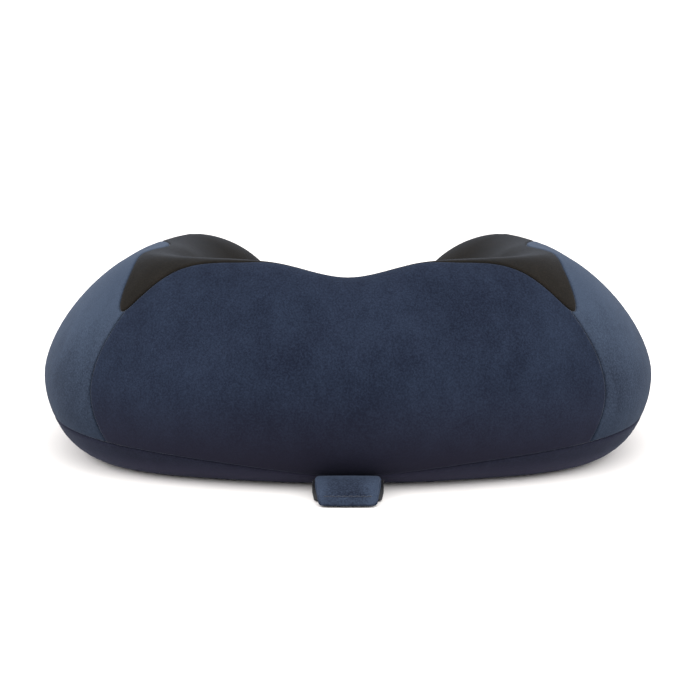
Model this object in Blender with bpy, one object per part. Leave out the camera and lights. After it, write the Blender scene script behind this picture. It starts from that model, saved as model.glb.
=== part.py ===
"""U shaped memory-foam neck pillow in a zipped velour cover.

The pillow stands on its flat base. The neck axis is vertical, the back of the pillow faces -Y and
the gap between the arms faces +Y. Every layer of the pillow is the same closed surface, set in by its
own depth: velour panels outside, then the knitted liner, then the foam. The surface is swept round the
neck axis as half sections, from the crest down to the base, on the outer side, round the tip of each
arm and back along the neck side.

Lengths below are millimetres and angles are degrees; objects are made in metres, +Z up.
"""
import math

import bmesh
import bpy
from mathutils import Vector

MM = 0.001

# ---- Driving dimensions: plan of the pillow -------------------------------------------------------
NECK_AXIS_Y = 14.0          # the neck axis lies ahead of the origin, because the loop sticks out behind
ARM_END = 128.0             # angle from the back's middle at which an arm starts to round off
TIP_LENGTH = 53.5           # how far an arm's rounded tip reaches past ARM_END
OUTER_RADIUS = ((0, 121.0), (30, 129.5), (60, 152.5), (90, 150.0), (ARM_END, 145.0))
NECK_RADIUS = ((0, 63.0), (45, 61.0), (90, 58.0), (ARM_END, 56.0))
CREST_INSET = ((0, 35.5), (57, 44.5), (90, 59.5), (ARM_END, 40.0))    # outer wall to crest, in plan

# ---- Driving dimensions: heights and roundness ---------------------------------------------------
CREST_HEIGHT = ((0, 96.0), (25, 102.5), (57, 101.5), (90, 97.0), (ARM_END, 92.0))
OUTER_WIDEST_Z = 37.5       # height at which the outer wall is widest
NECK_WIDEST_Z = 45.0        # the same for the neck wall
OUTER_POWER = 1.55          # superellipse power of the outer slope: 2 is round, 1 is a straight slope
NECK_POWER = 2.0
OUTER_FOOT_ROUND = 28.0     # width of the rounding under the outer wall
NECK_FOOT_ROUND = 9.0

# ---- Driving dimensions: seams -------------------------------------------------------------------
SIDE_SEAM = 52.2            # angle of the seam between the back panel and a side panel
SIDE_SEAM_BOW = 3.0         # how far that seam bows forward at half height
SIDE_SEAM_LOW_Z = 16.0
SIDE_SEAM_HIGH_Z = 78.0
TOP_SEAM_RISE = 86.0        # slope angle of the top seam: 90 is the crest, 0 is the widest line
TOP_SEAM_FALL = 20.0        # how much lower the top seam is by ARM_END, and from which angle it falls
TOP_SEAM_FALL_FROM = 93.0
NOTCH_DEPTH = 41.0          # the charcoal panel reaches this much lower where it meets the side seam
NOTCH_ANGLE = 52.8
NOTCH_WIDTH = 5.2
BASE_SEAM_HEIGHT = ((0, 6.0), (30, 12.0), (62, 18.5), (ARM_END, 20.0))
NECK_BASE_SEAM_HEIGHT = 18.0
TIP_SEAM_TURN = 80.0        # how far round an arm's tip the side panel ends
TIP_SEAM_RISE = 12.0        # slope angle to which the top seam has come down there
NECK_ROW_RISE = 60.0        # slope angle of the matching row on the neck side, where there is no seam

# ---- Driving dimensions: layers ------------------------------------------------------------------
VELOUR = 1.5
LAYER_GAP = 0.3
LINER = 0.6
SEAM_GAP = 0.25             # each panel stops this short of the seam line
LINER_DEPTH = VELOUR + LAYER_GAP
FOAM_DEPTH = LINER_DEPTH + LINER + LAYER_GAP

# ---- Stations of the surface ---------------------------------------------------------------------
ARC_STATIONS = (0, 11, 22, 32, 41, 46.5, SIDE_SEAM, 54.5, 61, 71, 82, 93, 104, 116)
TURN_STATIONS = (20, 40, 60, TIP_SEAM_TURN, 100, 120, 140, 160)
FOOT_ROWS = 2               # rows from the base contact to the base seam
LOW_ROWS = 2                # rows from the base seam to the widest line
SLOPE_ROWS = 4              # rows from the widest line to the top seam
CREST_ROWS = 3              # rows from the top seam to the crest
ROWS = FOOT_ROWS + LOW_ROWS + SLOPE_ROWS + CREST_ROWS
TOP_SEAM_ROW = ROWS - CREST_ROWS

# ---- Driving dimensions: zip in the base ---------------------------------------------------------
ZIP_Y = NECK_AXIS_Y - 80.0
SLOT_HALF_LENGTH = 54.0
SLOT_HALF_WIDTH = 5.0
SLOT_LIP = 1.5
SLOT_LIP_TOP = 3.0
TAPE_HALF_LENGTH = 58.0
TAPE_EDGE = 0.9             # each tape starts this far from the middle line
TAPE_WIDTH = 7.1
TAPE_Z = 3.3
TAPE_THICKNESS = 0.4
COIL_HALF_LENGTH = 57.0
COIL_Z = 3.9
COIL_HEIGHT = 1.4
COIL_WIDTH = 1.7
COIL_PITCH = 3.0
COIL_CUT = 0.4
WINDOW_HALF_LENGTH = 62.0   # opening of the liner over the zip, and the relief in the foam
WINDOW_HALF_WIDTH = 10.5
RELIEF_TOP = 8.0
SLIDER_REST_X = -46.0
SLIDER_HALF_LENGTH = 4.5
SLIDER_HALF_WIDTH = 3.7
PULL_AXIS_Z = 1.6
PULL_THICKNESS = 0.7
PULL_LENGTH = 13.0
PULL_HALF_WIDTH = 2.3
STOPS = (("left", -52.2), ("right", 45.2))
STOP_HALF_LENGTH = 1.0
STOP_HALF_WIDTH = 3.0

# ---- Driving dimensions: loop and label ----------------------------------------------------------
LOOP_HALF_WIDTH = 15.5      # at the seam
LOOP_TIP_HALF_WIDTH = 13.0
LOOP_TIP_Y = NECK_AXIS_Y - 138.6
LOOP_ROOT_Y = NECK_AXIS_Y - 109.5
BACKING_EXTRA = 1.4         # the backing is this much wider than the loop, each side
STITCH_DISTANCE = 134.5     # distance of the stitching from the neck axis
STITCH_HALF_LENGTH = 11.0
STITCH_WIDTH = 1.0
STITCH_THICKNESS = 0.4
STITCH_GAP = 0.1
LABEL_RADIUS = 63.2
LABEL_THICKNESS = 0.4
LABEL_HALF_ANGLE = 7.5
LABEL_LOW_Z = 6.0
LABEL_HIGH_Z = 17.5


# ---- Small mathematics ---------------------------------------------------------------------------
def through(knots, x):
    """Value at x of the smooth curve through the knots, level at both ends."""
    xs = [knot[0] for knot in knots]
    ys = [knot[1] for knot in knots]
    last = len(xs) - 1
    slopes = [0.0] * (last + 1)
    for i in range(1, last):
        slopes[i] = (ys[i + 1] - ys[i - 1]) / (xs[i + 1] - xs[i - 1])
    x = min(max(x, xs[0]), xs[-1])
    i = max(k for k in range(last) if x >= xs[k])
    span = xs[i + 1] - xs[i]
    t = (x - xs[i]) / span
    start = (2 * t ** 3 - 3 * t ** 2 + 1) * ys[i] + (t ** 3 - 2 * t ** 2 + t) * span * slopes[i]
    end = (3 * t ** 2 - 2 * t ** 3) * ys[i + 1] + (t ** 3 - t ** 2) * span * slopes[i + 1]
    return start + end


def smooth_step(t):
    return t * t * (3.0 - 2.0 * t)


def mix(a, b, t):
    return a + (b - a) * t


def cos(degrees):
    return math.cos(math.radians(degrees))


def sin(degrees):
    return math.sin(math.radians(degrees))


# ---- Seams ---------------------------------------------------------------------------------------
def top_seam_rise(arc):
    """Slope angle of the seam between navy and charcoal at an angle from the back's middle."""
    off = (arc - NOTCH_ANGLE) / NOTCH_WIDTH
    fall = (arc - TOP_SEAM_FALL_FROM) / (ARM_END - TOP_SEAM_FALL_FROM)
    fall = TOP_SEAM_FALL * smooth_step(max(fall, 0.0))
    return TOP_SEAM_RISE - NOTCH_DEPTH / (1.0 + off * off) - fall


def side_seam_shift(arc, z):
    """How far the stations near the side seam lean forward, so that the seam bows."""
    t = (z - SIDE_SEAM_LOW_Z) / (SIDE_SEAM_HIGH_Z - SIDE_SEAM_LOW_Z)
    bow = SIDE_SEAM_BOW * math.sin(math.pi * min(max(t, 0.0), 1.0))
    return bow * math.exp(-((arc - SIDE_SEAM) / 12.0) ** 2)


# ---- The pillow's surface ------------------------------------------------------------------------
class Section:
    """A half section, from the crest out to the wall and down to the base.

    arc is the angle from the back's middle, and turn is how far the section has swung round the
    arm's tip: 0 on the outer side, 180 on the neck side.
    """

    def __init__(self, arc, turn):
        self.arc = arc
        self.turn = turn
        share = smooth_step(turn / 180.0)
        outer = through(OUTER_RADIUS, arc)
        inset = through(CREST_INSET, arc)
        self.crest_radius = outer - inset
        neck_reach = self.crest_radius - through(NECK_RADIUS, arc)
        self.radial = (inset if turn < 90.0 else neck_reach) * cos(turn)
        self.along = TIP_LENGTH * sin(turn)
        self.reach = math.hypot(self.radial, self.along)
        self.crest_z = through(CREST_HEIGHT, arc)
        self.widest_z = mix(OUTER_WIDEST_Z, NECK_WIDEST_Z, share)
        self.power = mix(OUTER_POWER, NECK_POWER, share)
        self.foot = mix(OUTER_FOOT_ROUND, NECK_FOOT_ROUND, share)
        self.base_seam_z = mix(through(BASE_SEAM_HEIGHT, arc), NECK_BASE_SEAM_HEIGHT, share)
        self.top_seam = top_seam_rise(arc)
        if turn <= TIP_SEAM_TURN:
            self.top_seam = mix(self.top_seam, TIP_SEAM_RISE, turn / TIP_SEAM_TURN)
        else:
            up = min((turn - TIP_SEAM_TURN) / 40.0, 1.0)
            self.top_seam = mix(TIP_SEAM_RISE, NECK_ROW_RISE, up)

    def point(self, row, side):
        """Point of the surface on a row: 0 is the base contact and ROWS is the crest."""
        if row <= FOOT_ROWS + LOW_ROWS:
            seam_dip = math.degrees(math.asin(1.0 - self.base_seam_z / self.widest_z))
            if row <= FOOT_ROWS:
                dip = mix(90.0, seam_dip, row / FOOT_ROWS)
            else:
                dip = mix(seam_dip, 0.0, (row - FOOT_ROWS) / LOW_ROWS)
            share = 1.0 - self.foot * (1.0 - cos(dip)) / self.reach
            z = self.widest_z * (1.0 - sin(dip))
        else:
            if row <= TOP_SEAM_ROW:
                rise = self.top_seam * (row - FOOT_ROWS - LOW_ROWS) / SLOPE_ROWS
            else:
                rise = mix(self.top_seam, 90.0, (row - TOP_SEAM_ROW) / CREST_ROWS)
            share = max(cos(rise), 0.0) ** (2.0 / self.power)
            z = self.widest_z + (self.crest_z - self.widest_z) * sin(rise) ** (2.0 / self.power)
        return self.place(share, z, side)

    def place(self, share, z, side):
        arc = self.arc
        if not self.turn and share > 0.0:
            arc += side_seam_shift(self.arc, z) * min(1.0, 2.0 * share)
        radius = self.crest_radius + self.radial * share
        along = self.along * share
        x = radius * sin(arc) + along * cos(arc)
        y = -radius * cos(arc) + along * sin(arc)
        return Vector((side * x, NECK_AXIS_Y + y, z))


def half_loop():
    """Sections of one half of the pillow: back's middle, outer side, tip, neck side, back's middle."""
    outer = [Section(arc, 0.0) for arc in ARC_STATIONS]
    tip = [Section(ARM_END, 0.0)]
    tip += [Section(ARM_END, turn) for turn in TURN_STATIONS]
    tip += [Section(ARM_END, 180.0)]
    neck = [Section(arc, 180.0) for arc in reversed(ARC_STATIONS)]
    return outer + tip + neck


class Surface:
    """The pillow's outside as named points and triangles, each triangle with its panel."""

    def __init__(self):
        self.points = {}
        self.triangles = []
        for side in (1, -1):
            self.add_half(side)
        self.normals = self.point_normals()

    def key(self, section, row, side):
        side = 0 if section.arc == 0 else side
        if row == ROWS:
            return ("crest", section.arc, side)
        return (section.arc, section.turn, row, side)

    def put(self, section, row, side):
        key = self.key(section, row, side)
        if key not in self.points:
            self.points[key] = section.point(row, side)
        return key

    def face(self, keys, side, panel):
        """Triangles over three or four points, split along the shorter diagonal."""
        if side < 0:
            keys = keys[::-1]
        if len(keys) == 4:
            a, b, c, d = (self.points[key] for key in keys)
            if (b - d).length < (a - c).length:
                keys = keys[1:] + keys[:1]
        for i in range(1, len(keys) - 1):
            corners = (keys[0], keys[i], keys[i + 1])
            if len(set(corners)) == 3:
                self.triangles.append((corners, panel))

    def add_half(self, side):
        sections = half_loop()
        name = "left" if side < 0 else "right"
        for a, b in zip(sections, sections[1:]):
            for row in range(ROWS):
                corners = [(a, row), (b, row), (b, row + 1), (a, row + 1)]
                keys = [self.put(section, r, side) for section, r in corners]
                self.face(keys, side, self.panel_of(a, b, row, name))
        self.add_base(sections, side)

    def panel_of(self, a, b, row, name):
        if row < FOOT_ROWS:
            return "base_panel"
        if b.turn > TIP_SEAM_TURN or row >= TOP_SEAM_ROW:
            return "neck_panel"
        if b.turn == 0.0 and b.arc <= SIDE_SEAM:
            return "back_panel"
        return "side_panel_" + name

    def add_base(self, sections, side):
        """Flat underside: strips between the two contacts, and a fan under the arm's tip."""
        outer = [s for s in sections if s.turn == 0.0]
        neck = [s for s in reversed(sections) if s.turn == 180.0]
        for i in range(len(outer) - 1):
            strip = [(outer[i], 0), (neck[i], 0), (neck[i + 1], 0), (outer[i + 1], 0)]
            keys = [self.put(section, row, side) for section, row in strip]
            if i == len(outer) - 2:
                foot = ("foot", side)
                self.points[foot] = outer[-1].place(0.0, 0.0, side)
                self.face([foot, keys[3], keys[0]], side, "base_panel")
                self.face([foot, keys[0], keys[1]], side, "base_panel")
                self.face([foot, keys[1], keys[2]], side, "base_panel")
            else:
                self.face(keys, side, "base_panel")
        tip = [s for s in sections if s.arc == ARM_END]
        for a, b in zip(tip, tip[1:]):
            self.face([foot, self.put(b, 0, side), self.put(a, 0, side)], side, "base_panel")

    def point_normals(self):
        sums = {key: Vector() for key in self.points}
        for (a, b, c), _panel in self.triangles:
            pa, pb, pc = self.points[a], self.points[b], self.points[c]
            area = (pb - pa).cross(pc - pa)
            for key in (a, b, c):
                sums[key] += area
        return {key: total.normalized() for key, total in sums.items()}

    def at_depth(self, depth):
        """All points moved inwards by depth, straight up where they lie on the flat base."""
        moved = {}
        for key, point in self.points.items():
            normal = self.normals[key]
            if point.z < 1e-6:
                moved[key] = point + Vector((0.0, 0.0, depth))
            else:
                moved[key] = point - normal * depth
        return moved


def outline_edges(triangles):
    """Directed edges that only one triangle uses, which are the rim of a patch."""
    edges = {}
    for a, b, c in triangles:
        for start, end in ((a, b), (b, c), (c, a)):
            if (end, start) in edges:
                del edges[(end, start)]
            else:
                edges[(start, end)] = True
    return list(edges)


def inset_rim(points, normals, rim, gap):
    """Points of a patch, with its rim drawn in by gap along the patch."""
    pull = {}
    for start, end in rim:
        along = (points[end] - points[start]).normalized()
        for key in (start, end):
            inward = normals[key].cross(along).normalized()
            pull[key] = pull.get(key, Vector()) + inward
    moved = dict(points)
    for key, direction in pull.items():
        moved[key] = points[key] + direction.normalized() * gap
    return moved


# ---- Materials and objects -----------------------------------------------------------------------
def linear(level):
    level = level / 255.0
    return level / 12.92 if level <= 0.04045 else ((level + 0.055) / 1.055) ** 2.4


def material(name, colour, roughness, metallic=0.0):
    made = bpy.data.materials.new(name)
    made.use_nodes = True
    shader = made.node_tree.nodes["Principled BSDF"]
    shader.inputs["Base Color"].default_value = [linear(level) for level in colour] + [1.0]
    shader.inputs["Roughness"].default_value = roughness
    shader.inputs["Metallic"].default_value = metallic
    return made


def link(name, mesh, finish, location=(0.0, 0.0, 0.0)):
    made = bpy.data.objects.new(name, mesh)
    made.location = Vector(location) * MM
    mesh.materials.append(finish)
    bpy.context.scene.collection.objects.link(made)
    return made


def face_outwards(mesh):
    """Make the faces of a closed mesh of one shell point outwards."""
    shape = bmesh.new()
    shape.from_mesh(mesh)
    bmesh.ops.recalc_face_normals(shape, faces=shape.faces)
    shape.to_mesh(mesh)
    shape.free()


def object_from(name, points, faces, finish, smooth=False, location=(0.0, 0.0, 0.0)):
    mesh = bpy.data.meshes.new(name)
    mesh.from_pydata([Vector(point) * MM for point in points], [], faces)
    if smooth:
        mesh.shade_smooth()
    else:
        face_outwards(mesh)
    return link(name, mesh, finish, location)


def from_triangles(name, layers, finish):
    """Object from layers of (points by key, triangles of keys).

    A plain key means a point of the triangle's own layer, and (-1 - level, key) names the layer.
    """
    index = {}
    points = []
    faces = []
    for level, (positions, triangles) in enumerate(layers):
        for corners in triangles:
            face = []
            for corner in corners:
                key = corner if isinstance(corner[0], int) and corner[0] < 0 else (-1 - level, corner)
                if key not in index:
                    index[key] = len(points)
                    points.append(layers[-1 - key[0]][0][key[1]])
                face.append(index[key])
            faces.append(face)
    return object_from(name, points, faces, finish, smooth=True)


def shell(name, surface, triangles, outer_depth, inner_depth, gap, finish):
    """A skin between two depths of the surface, closed along its rim."""
    rim = outline_edges(triangles)
    outer = inset_rim(surface.at_depth(outer_depth), surface.normals, rim, gap)
    inner = inset_rim(surface.at_depth(inner_depth), surface.normals, rim, gap)
    walls = []
    for start, end in rim:
        walls.append(((-1, start), (-2, start), (-2, end)))
        walls.append(((-1, start), (-2, end), (-1, end)))
    backward = [(a, c, b) for a, b, c in triangles]
    return from_triangles(name, [(outer, triangles + walls), (inner, backward)], finish)


def prism(name, outline, low, high, finish, location=(0.0, 0.0, 0.0)):
    """Upright solid over a counter-clockwise outline of (x, y) points."""
    count = len(outline)
    points = [(x, y, low) for x, y in outline] + [(x, y, high) for x, y in outline]
    faces = [list(range(count))[::-1], list(range(count, 2 * count))]
    for i in range(count):
        after = (i + 1) % count
        faces.append([i, after, count + after, count + i])
    return object_from(name, points, faces, finish, location=location)


def rectangle(x0, x1, y0, y1):
    return [(x0, y0), (x1, y0), (x1, y1), (x0, y1)]


def box(name, x, y, z, finish, location=(0.0, 0.0, 0.0)):
    return prism(name, rectangle(x[0], x[1], y[0], y[1]), z[0], z[1], finish, location)


def combine(target, tool, operation):
    """Boolean of two objects, kept as a modifier; the tool is only a guide."""
    modifier = target.modifiers.new(operation.lower(), "BOOLEAN")
    modifier.operation = operation
    modifier.object = tool
    tool.hide_render = True
    tool.display_type = "WIRE"


# ---- Parts: cover, liner and foam ----------------------------------------------------------------
def zip_window(name, top, inset, finish):
    """Cutter over the zip, from below the base up to top."""
    half_length = WINDOW_HALF_LENGTH - inset
    half_width = WINDOW_HALF_WIDTH - inset
    x = (-half_length, half_length)
    y = (ZIP_Y - half_width, ZIP_Y + half_width)
    return box(name, x, y, (-1.0, top), finish)


def add_cover(surface, finishes):
    panels = {}
    for corners, panel in surface.triangles:
        panels.setdefault(panel, []).append(corners)
    made = {}
    for name, triangles in sorted(panels.items()):
        finish = finishes["charcoal"] if name == "neck_panel" else finishes["navy"]
        made[name] = shell(name, surface, triangles, 0.0, VELOUR, SEAM_GAP, finish)
    add_zip_slot(made["base_panel"], finishes["navy"])


def add_zip_slot(base_panel, finish):
    """Slit for the zip, with the panel's edges turned up to meet the tapes."""
    lip_x = SLOT_HALF_LENGTH + SLOT_LIP
    lip_y = SLOT_HALF_WIDTH + SLOT_LIP
    y = (ZIP_Y - lip_y, ZIP_Y + lip_y)
    lips = box("slot_lips", (-lip_x, lip_x), y, (VELOUR / 2.0, SLOT_LIP_TOP), finish)
    combine(base_panel, lips, "UNION")
    y = (ZIP_Y - SLOT_HALF_WIDTH, ZIP_Y + SLOT_HALF_WIDTH)
    slot = box("slot_cutter", (-SLOT_HALF_LENGTH, SLOT_HALF_LENGTH), y, (-2.0, 6.0), finish)
    combine(base_panel, slot, "DIFFERENCE")


def add_liner_and_foam(surface, finishes):
    triangles = [corners for corners, _panel in surface.triangles]
    outer = surface.at_depth(LINER_DEPTH)
    inner = surface.at_depth(LINER_DEPTH + LINER)
    backward = [(a, c, b) for a, b, c in triangles]
    liner = from_triangles("inner_liner", [(outer, triangles), (inner, backward)], finishes["knit"])
    combine(liner, zip_window("liner_cutter", RELIEF_TOP, 0.0, finishes["knit"]), "DIFFERENCE")
    foam_points = surface.at_depth(FOAM_DEPTH)
    foam = from_triangles("foam_core", [(foam_points, triangles)], finishes["foam"])
    combine(foam, zip_window("relief_cutter", RELIEF_TOP, 0.4, finishes["foam"]), "DIFFERENCE")


# ---- Parts: zip ----------------------------------------------------------------------------------
def add_zip(finishes):
    for name, side in (("front", 1), ("rear", -1)):
        add_tape(name, side, finishes["tape"])
        add_coil(name, side, finishes["coil"])
    for name, middle in STOPS:
        x = (middle - STOP_HALF_LENGTH, middle + STOP_HALF_LENGTH)
        y = (ZIP_Y - STOP_HALF_WIDTH, ZIP_Y + STOP_HALF_WIDTH)
        box("zip_stop_" + name, x, y, (TAPE_Z - 1.1, TAPE_Z - 0.3), finishes["metal"])
    add_slider(finishes["metal"])
    add_pull(finishes["metal"])


def add_tape(name, side, finish):
    y = sorted((ZIP_Y + side * TAPE_EDGE, ZIP_Y + side * (TAPE_EDGE + TAPE_WIDTH)))
    x = (-TAPE_HALF_LENGTH, TAPE_HALF_LENGTH)
    box("zip_tape_" + name, x, y, (TAPE_Z, TAPE_Z + TAPE_THICKNESS), finish)


def add_coil(name, side, finish):
    """Bar on the inner face of a tape, notched along the middle line at the coil's pitch."""
    near = TAPE_EDGE
    far = TAPE_EDGE + COIL_WIDTH
    outline = []
    turns = round(2 * COIL_HALF_LENGTH / COIL_PITCH)
    for i in range(turns):
        start = -COIL_HALF_LENGTH + i * COIL_PITCH
        outline.append((start, near + COIL_CUT))
        outline.append((start + 0.3 * COIL_PITCH, near))
        outline.append((start + 0.7 * COIL_PITCH, near))
    outline.append((COIL_HALF_LENGTH, near + COIL_CUT))
    outline.append((COIL_HALF_LENGTH, far))
    outline.append((-COIL_HALF_LENGTH, far))
    if side < 0:
        outline = [(x, -y) for x, y in reversed(outline)]
    location = (0.0, ZIP_Y, 0.0)
    prism("zip_coil_" + name, outline, COIL_Z, COIL_Z + COIL_HEIGHT, finish, location)


def add_slider(finish):
    """Two plates joined by a post between the tapes, side flanges, and a bridge for the pull."""
    rest = (SLIDER_REST_X, ZIP_Y, 0.0)
    long = SLIDER_HALF_LENGTH
    wide = SLIDER_HALF_WIDTH
    nose = 1.6
    plate = [(-long, -wide + nose), (-long + nose, -wide), (long - nose, -wide), (long, -wide + nose)]
    plate += [(x, -y) for x, y in reversed(plate)]
    slider = prism("zip_slider", plate, 2.1, 2.9, finish, rest)
    extras = [prism("slider_top", plate, 5.7, 6.5, finish, rest)]
    extras.append(box("slider_post", (-1.2, 1.2), (-0.5, 0.5), (2.8, 5.8), finish, rest))
    for side in (-1, 1):
        flange = sorted((side * (wide - 0.6), side * wide))
        extras.append(box("slider_flange", (-2.8, 2.8), flange, (4.1, 5.8), finish, rest))
        leg = sorted((side * 1.3, side * 1.9))
        extras.append(box("slider_leg", leg, (-0.8, 0.8), (0.5, 2.2), finish, rest))
    extras.append(box("slider_bridge", (-1.9, 1.9), (-0.8, 0.8), (0.45, 1.05), finish, rest))
    for extra in extras:
        combine(slider, extra, "UNION")


def add_pull(finish):
    """Flat tab with an eye round the bridge; its origin is on its hinge axis."""
    half = PULL_THICKNESS / 2.0
    wide = PULL_HALF_WIDTH
    tip = PULL_LENGTH
    outline = [(-half, -1.8), (3.2, -1.8), (5.0, -wide), (tip - 1.5, -wide), (tip, -wide + 1.5)]
    outline += [(x, -y) for x, y in reversed(outline)]
    axis = (SLIDER_REST_X, ZIP_Y, PULL_AXIS_Z)
    pull = prism("zip_pull", outline, -half, half, finish, axis)
    eye = box("pull_eye", (half, 2.6), (-1.1, 1.1), (-1.0, 1.0), finish, axis)
    combine(pull, eye, "DIFFERENCE")
    sides = 12
    ring = [(tip - 3.6 + 1.1 * cos(360.0 * i / sides), 1.1 * sin(360.0 * i / sides)) for i in range(sides)]
    hole = prism("pull_hole", ring, -1.0, 1.0, finish, axis)
    combine(pull, hole, "DIFFERENCE")


# ---- Parts: loop, its backing and stitch, and the label ------------------------------------------
LOOP_OUTSIDE = (            # (distance from the neck axis, height) round the folded loop
    (111.8, 7.6), (115.5, 8.7), (121.0, 8.6), (128.0, 7.0), (134.0, 4.8), (137.8, 2.7),
    (138.6, 1.4), (137.0, 0.6), (132.0, 0.6), (129.5, 1.6), (118.0, 2.0), (112.0, 3.4), (109.7, 5.2))
LOOP_INSIDE = (             # the gap between its two layers
    (114.6, 5.3), (116.5, 5.9), (121.0, 5.8), (127.0, 4.6), (131.5, 3.4), (133.8, 2.7),
    (134.3, 2.5), (133.8, 2.3), (131.5, 2.5), (127.0, 3.0), (120.0, 3.5), (116.0, 4.2), (114.7, 4.7))
BACKING_LINE = ((107.4, 3.0), (111.0, 1.6), (116.0, 0.9), (130.0, 0.75))
BACKING_THICKNESS = 0.8


def loop_half_width(distance):
    root = NECK_AXIS_Y - LOOP_ROOT_Y
    tip = NECK_AXIS_Y - LOOP_TIP_Y
    t = min(max((distance - root) / (tip - root), 0.0), 1.0)
    return mix(LOOP_HALF_WIDTH, LOOP_TIP_HALF_WIDTH, t)


def add_loop(finish):
    """Strap folded on itself: a band with a slim gap through it from side to side."""
    count = len(LOOP_OUTSIDE)
    points = []
    for ring in (LOOP_OUTSIDE, LOOP_INSIDE):
        for side in (-1, 1):
            for distance, z in ring:
                points.append((side * loop_half_width(distance), NECK_AXIS_Y - distance, z))
    outer_left, outer_right, inner_left, inner_right = (count * k for k in range(4))
    faces = []
    for i in range(count):
        j = (i + 1) % count
        faces.append([outer_left + i, outer_right + i, outer_right + j, outer_left + j])
        faces.append([inner_left + i, inner_left + j, inner_right + j, inner_right + i])
        faces.append([outer_left + i, outer_left + j, inner_left + j, inner_left + i])
        faces.append([outer_right + i, inner_right + i, inner_right + j, outer_right + j])
    return object_from("carry_loop", points, [face[::-1] for face in faces], finish)


def add_backing(finish):
    """Dark strip under the loop, a little wider than it, from the seam to short of the loop's tip."""
    half = BACKING_THICKNESS / 2.0
    rings = []
    for distance, z in BACKING_LINE:
        width = loop_half_width(distance) + BACKING_EXTRA
        y = NECK_AXIS_Y - distance
        low, high = z - half, z + half
        rings.append([(-width, y, low), (width, y, low), (width, y, high), (-width, y, high)])
    points = [point for ring in rings for point in ring]
    faces = [[0, 1, 2, 3]]
    last = 4 * (len(rings) - 1)
    for i in range(0, last, 4):
        for k in range(4):
            after = (k + 1) % 4
            faces.append([i + k, i + 4 + k, i + 4 + after, i + after])
    faces.append([last + 3, last + 2, last + 1, last])
    return object_from("loop_backing", points, faces, finish)


def add_stitch(finish):
    """Row of stitching across the loop near its tip, as one flat raised bar."""
    after = next(i for i, place in enumerate(LOOP_OUTSIDE) if place[0] > STITCH_DISTANCE)
    start, end = Vector(LOOP_OUTSIDE[after - 1]), Vector(LOOP_OUTSIDE[after])
    near = start.lerp(end, (STITCH_DISTANCE - start.x) / (end.x - start.x))
    slope = (end - start).normalized()
    lift = Vector((-slope.y, slope.x))
    points = []
    for height in (STITCH_GAP, STITCH_GAP + STITCH_THICKNESS):
        for along in (0.0, STITCH_WIDTH):
            place = near + slope * along + lift * height
            for side in (-1, 1):
                points.append((side * STITCH_HALF_LENGTH, NECK_AXIS_Y - place.x, place.y))
    faces = [[0, 1, 3, 2], [4, 6, 7, 5], [0, 4, 5, 1], [2, 3, 7, 6], [0, 2, 6, 4], [1, 5, 7, 3]]
    return object_from("loop_stitch", points, faces, finish)


def add_label(finish):
    """Blank care label, hanging from the base seam on the neck side at the back's middle."""
    steps = 6
    outline = []
    for radius, sense in ((LABEL_RADIUS, 1), (LABEL_RADIUS + LABEL_THICKNESS, -1)):
        for i in range(steps + 1):
            angle = sense * mix(-LABEL_HALF_ANGLE, LABEL_HALF_ANGLE, i / steps)
            outline.append((radius * sin(angle), NECK_AXIS_Y - radius * cos(angle)))
    return prism("care_label", outline[::-1], LABEL_LOW_Z, LABEL_HIGH_Z, finish)


def main():
    for old in list(bpy.data.objects):
        bpy.data.objects.remove(old)
    finishes = {
        "navy": material("navy_velour", (46, 56, 75), 0.9),
        "charcoal": material("charcoal_velour", (53, 50, 46), 0.95),
        "knit": material("liner_knit", (214, 212, 205), 0.9),
        "foam": material("memory_foam", (226, 214, 178), 0.95),
        "tape": material("zip_tape", (34, 41, 56), 0.8),
        "coil": material("zip_coil", (28, 33, 46), 0.45),
        "metal": material("zip_metal", (120, 122, 126), 0.35, 1.0),
        "backing": material("loop_webbing", (24, 26, 38), 0.85),
        "thread": material("thread", (31, 38, 54), 0.7),
        "label": material("label_satin", (232, 232, 228), 0.5),
    }
    surface = Surface()
    add_cover(surface, finishes)
    add_liner_and_foam(surface, finishes)
    add_zip(finishes)
    add_loop(finishes["navy"])
    add_backing(finishes["backing"])
    add_stitch(finishes["thread"])
    add_label(finishes["label"])


main()
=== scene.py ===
"""Looks of the U shaped neck pillow: velour cover, liner, foam, loop, zip and care label.

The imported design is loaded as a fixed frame, and every visible piece here stands for one of its nodes.
The pillow's outside is the sweep that the design uses, drawn here with a fine grid whose lines lie on the
seams. Lengths are millimetres and angles are degrees until an object is made, in metres, +Z up.
"""
import math

import bmesh
import bpy
import numpy as np
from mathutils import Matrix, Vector, noise
from mathutils.geometry import delaunay_2d_cdt
from mathutils.kdtree import KDTree


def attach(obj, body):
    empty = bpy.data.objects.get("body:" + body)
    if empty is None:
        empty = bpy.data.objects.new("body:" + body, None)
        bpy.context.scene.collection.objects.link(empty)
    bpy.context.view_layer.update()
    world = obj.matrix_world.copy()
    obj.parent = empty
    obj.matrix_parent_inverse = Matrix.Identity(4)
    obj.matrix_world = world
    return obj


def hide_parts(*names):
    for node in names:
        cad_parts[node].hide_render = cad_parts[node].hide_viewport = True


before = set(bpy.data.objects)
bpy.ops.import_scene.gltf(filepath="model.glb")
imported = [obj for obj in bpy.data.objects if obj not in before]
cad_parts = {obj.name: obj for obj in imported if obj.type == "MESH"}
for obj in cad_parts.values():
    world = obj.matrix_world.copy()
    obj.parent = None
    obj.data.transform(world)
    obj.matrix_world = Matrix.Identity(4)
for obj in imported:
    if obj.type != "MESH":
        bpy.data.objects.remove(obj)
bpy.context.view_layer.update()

MM = 0.001

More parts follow.
